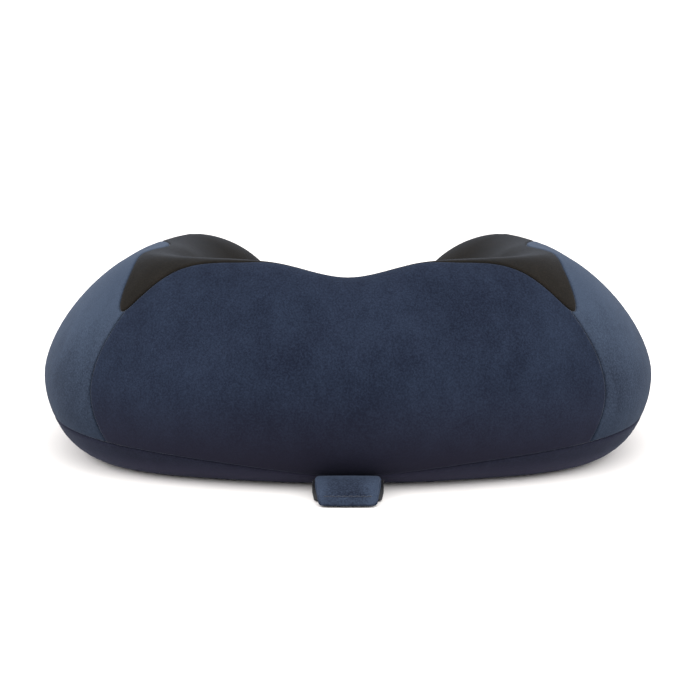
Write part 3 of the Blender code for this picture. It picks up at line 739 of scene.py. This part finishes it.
def flat_patch(ring, hole=None):
    """Flat points and triangles that fill a ring round a hole, with a lattice of points between."""
    hole = np.zeros((0, 2)) if hole is None else hole
    low, high = ring.min(axis=0), ring.max(axis=0)
    xs = np.arange(low[0], high[0], LATTICE)
    ys = np.arange(low[1], high[1], LATTICE)
    lattice = np.array([(x, y) for x in xs for y in ys])
    lattice = lattice[inside(lattice, ring) & ~inside(lattice, hole)]
    rims = tree_of([(x, y, 0.0) for x, y in np.concatenate([ring, hole])])
    apart = [rims.find((x, y, 0.0))[2] > 0.5 * LATTICE for x, y in lattice]
    flat = np.concatenate([ring, hole, lattice[apart]])
    edges = []
    for start, count in ((0, len(ring)), (len(ring), len(hole))):
        edges += [(start + i, start + (i + 1) % count) for i in range(count)]
    made, _edges, faces, _v, _e, _f = delaunay_2d_cdt([Vector(point) for point in flat], edges, [], 0, 1e-6)
    made = np.array([(point.x, point.y) for point in made])
    middles = np.array([made[list(face)].mean(axis=0) for face in faces])
    kept = inside(middles, ring) & ~inside(middles, hole)
    return made, [list(face) for face, keep in zip(faces, kept) if keep]


def raised(flat, z):
    return np.concatenate([flat, np.full((len(flat), 1), z)], axis=1)


def wide_sheet(patch, grid, thickness):
    """Add a closed thin sheet along a grid of points, thinner at its border, to a patchwork."""
    grid = np.array(grid, float)
    rows, columns = grid.shape[:2]
    normals = unit(np.cross(np.gradient(grid, axis=0), np.gradient(grid, axis=1)))
    half = np.full((rows, columns, 1), 0.5 * thickness)
    half[[0, -1]] *= BORDER_THICKNESS
    half[:, [0, -1]] *= BORDER_THICKNESS
    number = np.arange(rows * columns).reshape(rows, columns)
    faces = [[number[i, j], number[i, j + 1], number[i + 1, j + 1], number[i + 1, j]]
             for i in range(rows - 1) for j in range(columns - 1)]
    above, below = ((grid + side * half * normals).reshape(-1, 3) for side in (1, -1))
    patch.add_layers(above, below, faces, rim_of(faces))


def bordered(count, margin):
    """count + 1 even shares from 0 to 1, with two more a margin inside the ends."""
    return np.concatenate([[0.0], np.linspace(margin, 1.0 - margin, count + 1), [1.0]])


def round_corners(outline, radius, steps=3):
    """The outline again, each corner replaced by a small curve."""
    outline = np.array(outline, float)
    out = []
    for before, corner, after in zip(np.roll(outline, 1, axis=0), outline, np.roll(outline, -1, axis=0)):
        start, end = (corner + unit(other - corner) * min(radius, 0.45 * np.linalg.norm(other - corner))
                      for other in (before, after))
        for t in np.linspace(0.0, 1.0, steps + 1):
            out.append(mix(mix(start, corner, t), mix(corner, end, t), t))
    return np.array(out)


def slab(outline, low, high, bevel=0.0):
    """Patchwork of an upright prism on an outline that runs anticlockwise, with its edges eased."""
    along = unit(np.roll(outline, -1, axis=0) - np.roll(outline, 1, axis=0))
    outward = np.stack([along[:, 1], -along[:, 0]], axis=1)
    profile = [(1.0, 0.0), (0.3, 0.3), (0.0, 1.0)] if bevel else [(0.0, 0.0)]
    places = [(low + bevel * up, bevel * inset) for inset, up in profile]
    places += [(high - bevel * up, bevel * inset) for inset, up in reversed(profile)]
    rings = [raised(outline - inset * outward, z) for z, inset in places]
    patch = Patchwork()
    patch.add_capped(rings)
    return patch


def slot_ring(half_length, half_width, corner, offset, z):
    """Rounded rectangle round the zip, grown by offset, at height z."""
    places = []
    centre_x, centre_y = half_length - corner, half_width - corner
    corner += offset
    for quarter, (side_x, side_y) in enumerate(((1, 1), (-1, 1), (-1, -1), (1, -1))):
        for i in range(CORNER_STEPS + 1):
            angle = 90.0 * (quarter + i / CORNER_STEPS)
            places.append((side_x * centre_x + corner * cos(angle),
                           side_y * centre_y + corner * sin(angle)))
        after_x, after_y = ((-1, 1), (-1, -1), (1, -1), (1, 1))[quarter]
        x, y = places[-1]
        end_x = after_x * centre_x + corner * cos(90.0 * (quarter + 1))
        end_y = after_y * centre_y + corner * sin(90.0 * (quarter + 1))
        steps = SLOT_LONG_STEPS if quarter % 2 == 0 else SLOT_SHORT_STEPS
        places += [(mix(x, end_x, i / steps), mix(y, end_y, i / steps)) for i in range(1, steps)]
    return np.array([(x, ZIP_Y + y, z) for x, y in places])


# ---- Cover, liner and foam ----
def add_cover(skin, finishes):
    seam_tree = tree_of(seam_lines(skin))
    swell = swollen(skin, seam_tree)
    outer = skin.points + skin.normals * (swell + sewn_offsets(skin, seam_tree))[:, None]
    inner = skin.points + skin.normals * (swell - COVER_INSIDE)[:, None]
    outer[:, 2] = np.maximum(outer[:, 2], 0.0)
    panels = {}
    for face, panel in zip(skin.faces, skin.panels):
        panels.setdefault(panel, []).append(face)
    for name, faces in sorted(panels.items()):
        patch = Patchwork()
        layers = add_shell(patch, faces, outer, inner, skin)
        if name == "base_panel":
            add_underside(patch, layers, skin)
        piece = patch.piece(name + "_velour", finishes[name], smooth_angle=PANEL_SMOOTH)
        settle(piece, "pillow", name)
    add_seam_threads(skin, swell, finishes["thread"])


def add_underside(patch, layers, skin):
    """Add the base panel's flat face, with the edges of the zip's slot turned in, to its patchwork."""
    outer, inner = layers
    rings = [slot_ring(SLOT_HALF_LENGTH, SLOT_HALF_WIDTH, SLOT_CORNER, *place) for place in LIP_PROFILE]
    patch.add_rings(rings)
    for layer, ring in ((outer, rings[0]), (inner, rings[-1])):
        flat, triangles = flat_patch(layer[skin.base_ring][:, :2], ring[:, :2])
        patch.add(raised(flat, ring[0][2]), triangles)


def closed_skin(patch, skin, depth, flip=False):
    """Add the whole surface at a depth, with its flat underside, to a patchwork."""
    layer = skin.points - skin.normals * depth
    patch.add(layer, skin.faces, flip)
    flat, triangles = flat_patch(layer[skin.base_ring][:, :2])
    patch.add(raised(flat, depth), triangles, not flip)


def cut(piece, patch, operation="DIFFERENCE"):
    """Cut another closed shape out of a piece, or unite it with the piece, and keep the result."""
    tool = placed("tool", patch.mesh("tool"))
    change = piece.modifiers.new("cut", "BOOLEAN")
    change.operation = operation
    change.solver = "MANIFOLD"
    change.object = tool
    finish = piece.data.materials[0]
    piece.data = evaluated_mesh(piece)
    piece.modifiers.clear()
    piece.data.materials.clear()
    piece.data.materials.append(finish)
    bpy.data.objects.remove(tool)


def window(inset):
    """Upright block with round corners over the zip."""
    block = Patchwork()
    rings = [slot_ring(WINDOW_HALF_LENGTH, WINDOW_HALF_WIDTH, WINDOW_CORNER, -inset - extra, z)
             for extra, z in WINDOW_PROFILE]
    block.add_capped(rings)
    return block


def add_liner(skin, finish):
    """Knitted sleeve round the foam, open over the zip."""
    patch = Patchwork(turned=True)
    closed_skin(patch, skin, LINER_DEPTH)
    closed_skin(patch, skin, LINER_DEPTH + LINER, flip=True)
    piece = patch.piece("liner_knit", finish)
    cut(piece, window(0.0))
    settle(piece, "pillow", "inner_liner")


def add_foam(skin, finish):
    """Moulded foam block with a shallow relief over the zip."""
    patch = Patchwork(turned=True)
    closed_skin(patch, skin, FOAM_DEPTH)
    piece = patch.piece("foam_block", finish)
    cut(piece, window(FOAM_WINDOW_INSET))
    settle(piece, "pillow", "foam_core")


def add_seam_threads(skin, swell, finish):
    """Thread at the bottom of each seam, and stitches round the zip's slot."""
    patch = Patchwork()
    offset, height = SLOT_STITCH
    ring = slot_ring(SLOT_HALF_LENGTH, SLOT_HALF_WIDTH, SLOT_CORNER, offset, height)
    ring = finer(ring, SLOT_STITCH_STEP, closed=True)
    length, pitch = SLOT_STITCH_STEPS
    for start in range(0, len(ring) - length - 1, pitch):
        patch.add_tube(ring[start:start + length + 1], THREAD_RADIUS, sides=6)
    line_points = skin.points + skin.normals * (swell - THREAD_DEPTH)[:, None]
    for _name, numbers, closed in skin.seams():
        patch.add_tube(line_points[numbers], THREAD_RADIUS, sides=6, closed=closed)
    piece = patch.piece("seam_threads", finish)
    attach(piece, "pillow")


# ---- Loop and label ----
def loop_half_width(distance):
    """Half width of the loop at a distance, with its corners rounded off."""
    root, tip = LOOP_HALF_WIDTH
    root_corner, tip_corner = LOOP_CORNERS
    width = mix(root, tip, (distance - LOOP_ROOT) / (LOOP_TIP - LOOP_ROOT))
    width = width - cut_corner(distance - LOOP_ROOT, root_corner)
    return width - cut_corner(LOOP_TIP - distance, tip_corner)


def cut_corner(inside_end, radius):
    """How much a rounded corner takes off the half width at a distance inside the end."""
    missing = radius - np.clip(inside_end, 0.0, radius)
    return radius - np.sqrt(radius ** 2 - missing ** 2)


def add_loop(finish):
    """Folded and stuffed velour tab with an eye along its middle."""
    patch = Patchwork()
    shares_across = bordered(26, 0.02) * 2.0 - 1.0
    outside = rounded(LOOP_OUTSIDE, LOOP_STEPS, closed=True)
    inside_line = rounded(LOOP_INSIDE, LOOP_STEPS, closed=True)
    rings = []
    for out, within in zip(outside, inside_line):
        middle, half = (out + within) / 2.0, (out - within) / 2.0
        ring = []
        for side, line in ((1.0, shares_across), (-1.0, shares_across[::-1])):
            for share in line:
                inner_edge = (1.0 - abs(share)) * LOOP_HALF_WIDTH[1] / LOOP_EDGE
                round_off = math.sqrt(1.0 - (1.0 - min(inner_edge, 0.999)) ** 2)
                swell = round_off * (1.0 + LOOP_CROWN * ((1.0 - share ** 2) - 0.6))
                distance, z = middle + side * half * swell
                if side > 0:
                    dent = HEM_DEPTH * math.exp(-((distance - HEM_DISTANCE) / HEM_WIDTH) ** 2)
                    distance, z = (distance, z) - dent * half / np.linalg.norm(half)
                ring.append((share * loop_half_width(distance), NECK_AXIS_Y - distance, max(z, 0.3)))
        rings.append(ring)
    patch.add_rings(rings, closed_along=True)
    piece = patch.piece("loop_velour", finish)
    settle(piece, "loop", "carry_loop")


def add_loop_stitches(finish):
    """Row of stitches in the hem's groove near the loop's tip."""
    patch = Patchwork()
    top = rounded(LOOP_OUTSIDE, LOOP_STEPS, closed=True)[:LOOP_TOP_POINTS]
    height = float(np.interp(HEM_DISTANCE, top[:, 0], top[:, 1])) - STITCH_SINK
    for x in np.arange(-STITCH_REACH, STITCH_REACH + 0.1, STITCH_PITCH):
        shares_along = np.linspace(-0.5, 0.5, 7)
        line = [(x + STITCH_LENGTH * share, NECK_AXIS_Y - HEM_DISTANCE, height - STITCH_ARCH * share ** 2)
                for share in shares_along]
        patch.add_tube(line, STITCH_RADIUS)
    piece = patch.piece("loop_stitches", finish)
    settle(piece, "loop", "loop_stitch")


def add_backing(finish):
    """Webbing strip behind the loop, sewn in at the base seam."""
    patch = Patchwork()
    line = rounded(BACKING_LINE, 6)
    end = BACKING_LINE[-1][0]
    grid = []
    for distance, z in line:
        reach = loop_half_width(np.clip(distance, *BACKING_FOLLOWS)) + BACKING_EXTRA
        reach -= cut_corner(end - distance, BACKING_CORNER)
        across = reach * (2.0 * bordered(24, 0.015) - 1.0)
        grid.append([(x, NECK_AXIS_Y - distance, z) for x in across])
    wide_sheet(patch, grid, BACKING_THICKNESS)
    piece = patch.piece("loop_backing_webbing", finish)
    settle(piece, "loop", "loop_backing")


def add_label(finish):
    """Blank care label that hangs from the base seam on the neck side."""
    patch = Patchwork()
    line = rounded(LABEL_LINE, 4)
    grid = []
    for number, (radius, z) in enumerate(line):
        free = (number / len(line)) ** 2
        row = []
        for share in bordered(20, 0.01) * 2.0 - 1.0:
            curl = LABEL_CURL * free * math.cos(2.2 * share + 0.4)
            angle = LABEL_HALF_ARC * share
            row.append(((radius - curl) * sin(angle), NECK_AXIS_Y - (radius - curl) * cos(angle), z))
        grid.append(row)
    wide_sheet(patch, grid, LABEL_THICKNESS)
    piece = patch.piece("care_label_satin", finish)
    settle(piece, "pillow", "care_label")


# ---- Zip ----
def add_zip(finishes):
    for name, side in (("front", 1.0), ("rear", -1.0)):
        add_tape(name, side, finishes["tape"])
        add_coil(name, side, finishes["coil"])
    for name, x in STOPS:
        outline = round_corners(STOP_OUTLINE, 0.4) + (x, ZIP_Y)
        piece = slab(outline, *STOP_Z, bevel=0.15).piece("stop_" + name, finishes["metal"], smooth_angle=40)
        settle(piece, "pillow", "zip_stop_" + name)
    add_slider(finishes["metal"])
    add_pull(finishes["metal"])


def add_tape(name, side, finish):
    """Woven tape on one side of the zip."""
    patch = Patchwork()
    near, far = TAPE_EDGE
    grid = []
    for along in bordered(96, 0.002) * 2.0 - 1.0:
        x = along * TAPE_HALF_LENGTH
        z = TAPE_Z + TAPE_WAVE * math.sin(TAPE_WAVES * x)
        grid.append([(x, ZIP_Y + side * mix(near, far, share), z) for share in bordered(8, 0.02)])
    wide_sheet(patch, grid, TAPE_THICKNESS)
    piece = patch.piece("tape_" + name, finish)
    settle(piece, "pillow", "zip_tape_" + name)


def add_coil(name, side, finish):
    """Spiral of nylon wire along one side of the zip."""
    patch = Patchwork()
    middle_y, middle_z = COIL_LINE
    reach_y, reach_z = COIL_REACH
    length = COIL_HALF_LENGTH - COIL_WIRE
    turns = 2.0 * length / COIL_PITCH
    line = []
    for number in range(round(turns * COIL_STEPS) + 1):
        angle = 360.0 * number / COIL_STEPS
        x = -length + COIL_PITCH * number / COIL_STEPS
        line.append((x, ZIP_Y + side * (middle_y + reach_y * cos(angle)), middle_z + reach_z * sin(angle)))
    patch.add_tube(line, COIL_WIRE, sides=6)
    piece = patch.piece("coil_" + name, finish)
    settle(piece, "pillow", "zip_coil_" + name)


def add_slider(finish):
    """Slider body: two plates joined by a post, flanges over the coils and a bridge for the pull."""
    outline = round_corners(PLATE_OUTLINE, 0.9) + (SLIDER_X, ZIP_Y)
    (low, high), upper = SLIDER_PLATES
    piece = slab(outline, low, high, bevel=0.2).piece("slider_body", finish)
    cut(piece, slab(outline, *upper, bevel=0.2), "UNION")
    for (x0, y0, z0), (x1, y1, z1) in SLIDER_BLOCKS:
        box = round_corners([(x0, y0), (x1, y0), (x1, y1), (x0, y1)], 0.2) + (SLIDER_X, ZIP_Y)
        cut(piece, slab(box, z0, z1, bevel=0.1), "UNION")
    piece.data.set_sharp_from_angle(angle=math.radians(35))
    settle(piece, "slider", "zip_slider")


def add_pull(finish):
    """Flat pull tab that hangs on the slider's bridge."""
    axis = (SLIDER_X, ZIP_Y)
    half = list(PULL_HALF)
    outline = half + [(x, -y) for x, y in reversed(half)]
    low, high = PULL_Z
    piece = slab(round_corners(outline, 0.7) + axis, low, high, bevel=0.16).piece("pull_tab", finish)
    distance, radius = PULL_HOLE
    hole = [(distance + radius * cos(angle), radius * sin(angle)) for angle in range(0, 360, 15)]
    for opening in (round_corners(PULL_EYE, 0.3), np.array(hole)):
        cut(piece, slab(opening + axis, low - 1.0, high + 1.0))
    piece.data.set_sharp_from_angle(angle=math.radians(35))
    settle(piece, "pull", "zip_pull")


def settle(piece, body, *nodes):
    """Let a piece ride on a body and stand for CAD nodes, which it hides."""
    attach(piece, body)
    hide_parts(*nodes)


# ---- Materials ----
def linear(*levels):
    """Colour for a shader from red, green and blue levels of 0 to 255."""
    shares_of_full = [level / 255.0 for level in levels]
    return [c / 12.92 if c <= 0.04045 else ((c + 0.055) / 1.055) ** 2.4 for c in shares_of_full] + [1.0]


class Finish:
    """A procedural material. Sizes of patterns are millimetres, in the object's own space."""

    def __init__(self, name, **values):
        self.material = bpy.data.materials.new(name)
        self.material.use_nodes = True
        self.nodes = self.material.node_tree.nodes
        self.links = self.material.node_tree.links
        self.shader = self.nodes["Principled BSDF"]
        for socket, value in values.items():
            self.shader.inputs[socket.replace("_", " ")].default_value = value
        self.place = self.nodes.new("ShaderNodeTexCoord").outputs["Object"]
        self.bump_normal = None

    def add(self, kind, inputs, **settings):
        """New node, with inputs by name or number: a value, or another node's socket."""
        node = self.nodes.new("ShaderNode" + kind)
        for setting, value in settings.items():
            setattr(node, setting, value)
        for key, value in inputs.items():
            if isinstance(value, bpy.types.NodeSocket):
                self.links.new(value, node.inputs[key])
            else:
                node.inputs[key].default_value = value
        return node

    def stretched(self, x, y, z):
        """The place, with each axis scaled."""
        return self.add("Mapping", {"Vector": self.place, "Scale": (x, y, z)}).outputs["Vector"]

    def noise(self, size, detail=2.0, rough=0.5, place=None):
        inputs = {"Vector": place or self.place, "Scale": 1.0 / (size * MM), "Detail": detail,
                  "Roughness": rough}
        return self.add("TexNoise", inputs).outputs["Fac"]

    def cells(self, size):
        inputs = {"Vector": self.place, "Scale": 1.0 / (size * MM)}
        return self.add("TexVoronoi", inputs).outputs["Distance"]

    def waves(self, size, direction, distortion):
        inputs = {"Vector": self.place, "Scale": WAVES_PER_UNIT / (size * MM),
                  "Distortion": distortion, "Detail": 1.0, "Detail Scale": 3.0}
        return self.add("TexWave", inputs, bands_direction=direction).outputs["Fac"]

    def height(self, low, high):
        """0 at one height and 1 at another, in millimetres, eased between."""
        z = self.add("SeparateXYZ", {0: self.place}).outputs["Z"]
        inputs = {"Value": z, "From Min": low * MM, "From Max": high * MM}
        return self.add("MapRange", inputs, interpolation_type="SMOOTHSTEP").outputs[0]

    def ranged(self, value, low, high, to_low=0.0, to_high=1.0):
        inputs = {"Value": value, "From Min": low, "From Max": high, "To Min": to_low, "To Max": to_high}
        return self.add("MapRange", inputs).outputs[0]

    def maths(self, operation, a, b):
        return self.add("Math", {0: a, 1: b}, operation=operation).outputs[0]

    def mixed(self, share, a, b, kind="MIX"):
        inputs = {0: share, 6: a, 7: b}
        return self.add("Mix", inputs, data_type="RGBA", blend_type=kind).outputs[2]

    def colour(self, socket):
        self.links.new(socket, self.shader.inputs["Base Color"])

    def roughness(self, socket):
        self.links.new(socket, self.shader.inputs["Roughness"])

    def bump(self, socket, depth, strength=1.0):
        """Add relief of a depth in millimetres; calls stack."""
        inputs = {"Height": socket, "Distance": depth * MM, "Strength": strength}
        if self.bump_normal:
            inputs["Normal"] = self.bump_normal
        self.bump_normal = self.add("Bump", inputs).outputs["Normal"]
        self.links.new(self.bump_normal, self.shader.inputs["Normal"])


def painted_edge_sheen(made):
    """Share of painted sheen that lightens the loop's pile: at its sides, its root and beyond its hem."""
    place = made.add("SeparateXYZ", {0: made.place}).outputs
    sides = made.ranged(made.maths("ABSOLUTE", place["X"], 0.0), *PAINTED_SHEEN_SIDES)
    root = made.ranged(place["Y"], *PAINTED_SHEEN_ROOT)
    tip = made.ranged(place["Y"], *PAINTED_SHEEN_TIP, 0.0, PAINTED_SHEEN_TIP_SHARE)
    return made.maths("MAXIMUM", made.maths("MAXIMUM", sides, root), tip)


def velour(name, deep, lit, low, painted_foot_top=55.0, painted_top_light=0.0, rim=False):
    """Short-piled knit: cloudy pile, fine speckle, a soft sheen and a colour painted over the foot.

    low is that colour, up to the height after it: painted shade on most panels, painted light on the base
    panel. The amount after that is painted top light, lighter near the top. With a rim, painted sheen makes
    it lighter along the loop's edges.
    """
    made = Finish(name, Roughness=0.85, Sheen_Weight=VELOUR_SHEEN, Sheen_Roughness=0.45,
                  Sheen_Tint=linear(150, 165, 190), Specular_IOR_Level=0.04)
    clouds = made.noise(55.0, 3.0)
    brushed = made.noise(10.0, 3.0, 0.6, made.stretched(1.0, 1.0, 0.55))
    speckle = made.noise(0.85, 2.0, 0.6)
    pile = made.noise(0.5, 2.0, 0.6)
    tone_and_painted_light = made.ranged(clouds, 0.35, 0.65, 0.0, 0.25)
    tone_and_painted_light = made.maths("ADD", tone_and_painted_light, made.ranged(brushed, 0.3, 0.7, 0.0, 0.3))
    tone_and_painted_light = made.maths("ADD", tone_and_painted_light, made.ranged(speckle, 0.35, 0.65, -0.20, 0.32))
    # Painted top light: lighter between 35 and 95 mm up, by the given amount.
    tone_and_painted_light = made.maths("ADD", tone_and_painted_light, made.maths("MULTIPLY", made.height(35.0, 95.0), painted_top_light))
    # With a rim, painted sheen lightens the loop's edges and the part beyond its hem.
    if rim:
        tone_and_painted_light = made.maths("ADD", tone_and_painted_light, painted_edge_sheen(made))
    base = made.mixed(tone_and_painted_light, linear(*deep), linear(*lit))
    base = made.mixed(made.ranged(pile, 0.35, 0.65, 0.0, 0.40), base, linear(*deep))
    # Painted foot colour up to the given height: painted shade on most panels, painted light on the base
    # panel.
    base = made.mixed(made.height(0.0, painted_foot_top), linear(*low), base)
    made.colour(base)
    made.roughness(made.ranged(speckle, 0.3, 0.7, 0.78, 0.95))
    made.bump(brushed, 0.35, 0.5)
    made.bump(speckle, 0.16, 0.7)
    made.bump(pile, 0.08, 0.6)
    return made.material


def knit(name):
    """Thin white jersey: columns of small loops."""
    made = Finish(name, Roughness=0.9, Specular_IOR_Level=0.2, Sheen_Weight=0.1)
    columns = made.waves(0.9, "X", 1.5)
    rows = made.waves(0.7, "Z", 1.5)
    loops = made.maths("MULTIPLY", columns, rows)
    tint = made.mixed(made.noise(30.0), linear(208, 205, 196), linear(222, 221, 215))
    made.colour(made.mixed(made.ranged(loops, 0.0, 0.6), linear(176, 173, 165), tint))
    made.bump(loops, 0.2)
    return made.material


def foam(name):
    """Cream moulded foam with fine open pores and a slightly yellowed skin."""
    made = Finish(name, Roughness=0.95, Specular_IOR_Level=0.15)
    pores = made.cells(1.1)
    specks = made.noise(0.6, 3.0, 0.7)
    tint = made.mixed(made.noise(40.0, 3.0), linear(230, 219, 186), linear(217, 201, 160))
    made.colour(made.mixed(made.ranged(pores, 0.1, 0.45, 0.55, 0.0), tint, linear(176, 158, 116)))
    made.bump(pores, 0.35, 0.7)
    made.bump(specks, 0.15, 0.6)
    return made.material


def webbing(name, dark, light, size):
    """Woven band: a fine twill with uneven dye."""
    made = Finish(name, Roughness=0.8, Specular_IOR_Level=0.25, Sheen_Weight=0.15)
    twill = made.waves(size, "DIAGONAL", 0.4)
    threads = made.waves(size * 0.8, "X", 0.6)
    weave = made.maths("MULTIPLY", twill, threads)
    worn = made.noise(6.0, 3.0)
    share = made.maths("MULTIPLY", weave, made.ranged(worn, 0.3, 0.7, 0.5, 1.0))
    made.colour(made.mixed(share, linear(*dark), linear(*light)))
    made.bump(weave, 0.18, 0.8)
    return made.material


def satin(name):
    """Blank white label tape with a fine weft and a faint shine."""
    made = Finish(name, Roughness=0.42, Specular_IOR_Level=0.45, Sheen_Weight=0.1)
    weft = made.waves(0.35, "Z", 0.3)
    soiling = made.noise(5.0, 3.0)
    made.colour(made.mixed(made.ranged(soiling, 0.3, 0.7), linear(229, 228, 222), linear(240, 240, 237)))
    made.roughness(made.ranged(weft, 0.0, 1.0, 0.36, 0.5))
    made.bump(weft, 0.06, 0.7)
    return made.material


def twisted(name, dark, light):
    """Sewing thread: tight diagonal strands."""
    made = Finish(name, Roughness=0.6, Specular_IOR_Level=0.35, Sheen_Weight=0.2)
    strands = made.waves(0.22, "DIAGONAL", 0.5)
    made.colour(made.mixed(strands, linear(*dark), linear(*light)))
    made.bump(strands, 0.05, 0.8)
    return made.material


def nylon(name):
    """Dark monofilament, dulled by handling."""
    made = Finish(name, Roughness=0.38, Specular_IOR_Level=0.5)
    dust = made.noise(2.5, 3.0, 0.6)
    made.colour(made.mixed(made.ranged(dust, 0.35, 0.7), linear(24, 29, 42), linear(38, 44, 60)))
    made.roughness(made.ranged(dust, 0.3, 0.7, 0.3, 0.5))
    made.bump(made.noise(0.4), 0.02, 0.5)
    return made.material


def gunmetal(name):
    """Tumbled dark zinc: fine scratches, and brighter where it rubs."""
    made = Finish(name, Metallic=1.0, Roughness=0.35)
    scratches = made.noise(0.5, 4.0, 0.7, made.stretched(0.15, 1.0, 1.0))
    worn = made.noise(1.8, 4.0, 0.6)
    made.colour(made.mixed(made.ranged(worn, 0.45, 0.62), linear(96, 98, 103), linear(158, 158, 160)))
    made.roughness(made.ranged(scratches, 0.3, 0.7, 0.26, 0.46))
    made.bump(scratches, 0.02, 0.6)
    return made.material


def make_finishes():
    # The back's foot colour is painted shade, with a little painted top light.
    navy = velour("navy_velour_back", (19, 24, 37), (40, 49, 66), (26, 24, 35), 55.0, 0.04)
    # The side panels are a lighter copy of the back's navy: partly the pile laid another way, partly
    # painted light for the side lamps and the sheen at a grazing view. Their foot colour is painted shade,
    # and their top carries painted top light.
    side = velour("navy_velour_side", (29, 35, 47), (56, 66, 82), (27, 34, 46), 40.0, 0.75)
    return {
        "back_panel": navy,
        "side_panel_left": side,
        "side_panel_right": side,
        # The base panel's foot colour is lighter: painted light that lifts the shade at its bottom.
        "base_panel": velour("navy_velour_base", (22, 23, 34), (38, 40, 54), (46, 43, 58), 13.0),
        # The charcoal's foot colour is painted shade.
        "neck_panel": velour("charcoal_velour", (20, 18, 15), (36, 32, 27), (18, 17, 15), 40.0),
        # The loop's foot colour is painted shade under it, and the rim adds painted sheen on its edges.
        "loop": velour("navy_velour_loop", (17, 20, 32), (54, 64, 81), (12, 14, 24), 2.2, rim=True),
        "thread": twisted("navy_thread", (16, 20, 32), (34, 41, 58)),
        "liner": knit("liner_knit"),
        "foam": foam("memory_foam"),
        "backing": webbing("loop_webbing", (5, 6, 13), (12, 14, 26), 0.9),
        "tape": webbing("zip_tape", (26, 32, 46), (44, 52, 70), 0.7),
        "coil": nylon("zip_coil"),
        "metal": gunmetal("zip_metal"),
        "label": satin("label_satin"),
    }


# ---- Stage ----
def aim_from(made, aim, azimuth, elevation, distance):
    """Put a lamp or camera at a distance from a place and turn it to face that place."""
    away = Vector((cos(elevation) * sin(azimuth), -cos(elevation) * cos(azimuth), sin(elevation)))
    made.location = aim + away * distance
    made.rotation_euler = away.to_track_quat("Z", "Y").to_euler()


def add_stage():
    """Pale floor, soft light from all round, and three large soft lamps."""
    mesh = bpy.data.meshes.new("floor")
    reach = FLOOR_REACH
    mesh.from_pydata([(-reach, -reach, 0), (reach, -reach, 0), (reach, reach, 0), (-reach, reach, 0)],
                     [], [(0, 1, 2, 3)])
    paper = Finish("pale_floor", Roughness=0.9, Specular_IOR_Level=0.1)
    paper.shader.inputs["Base Color"].default_value = FLOOR_COLOUR
    mesh.materials.append(paper.material)
    placed("floor", mesh)

    world = bpy.data.worlds.new("studio")
    bpy.context.scene.world = world
    world.use_nodes = True
    backdrop = world.node_tree.nodes["Background"]
    backdrop.inputs["Color"].default_value = (1.0, 1.0, 1.0, 1.0)
    backdrop.inputs["Strength"].default_value = SKY
    for name, azimuth, elevation, distance, size, power in LAMPS:
        lamp = bpy.data.lights.new(name, "AREA")
        lamp.shape = "SQUARE"
        lamp.size = size
        lamp.energy = power
        aim_from(placed(name, lamp), Vector(LAMP_AIM), azimuth, elevation, distance)
    bpy.context.scene.view_settings.view_transform = "Standard"


def add_camera():
    camera = bpy.data.cameras.new("camera")
    camera.sensor_width = SENSOR_WIDTH
    camera.lens = CAMERA_LENS
    camera.shift_x = CAMERA_SHIFT
    made = placed("camera", camera)
    aim_from(made, Vector(CAMERA_AIM) * MM, 0.0, CAMERA_ELEVATION, CAMERA_DISTANCE * MM)
    bpy.context.scene.camera = made


def main():
    finishes = make_finishes()
    add_stage()
    add_camera()
    add_cover(Skin(1.0, CROWD), finishes)
    core = Skin(CORE_SHARE, 0.0)
    add_liner(core, finishes["liner"])
    add_foam(core, finishes["foam"])
    add_loop(finishes["loop"])
    add_loop_stitches(finishes["thread"])
    add_backing(finishes["backing"])
    add_label(finishes["label"])
    add_zip(finishes)


main()
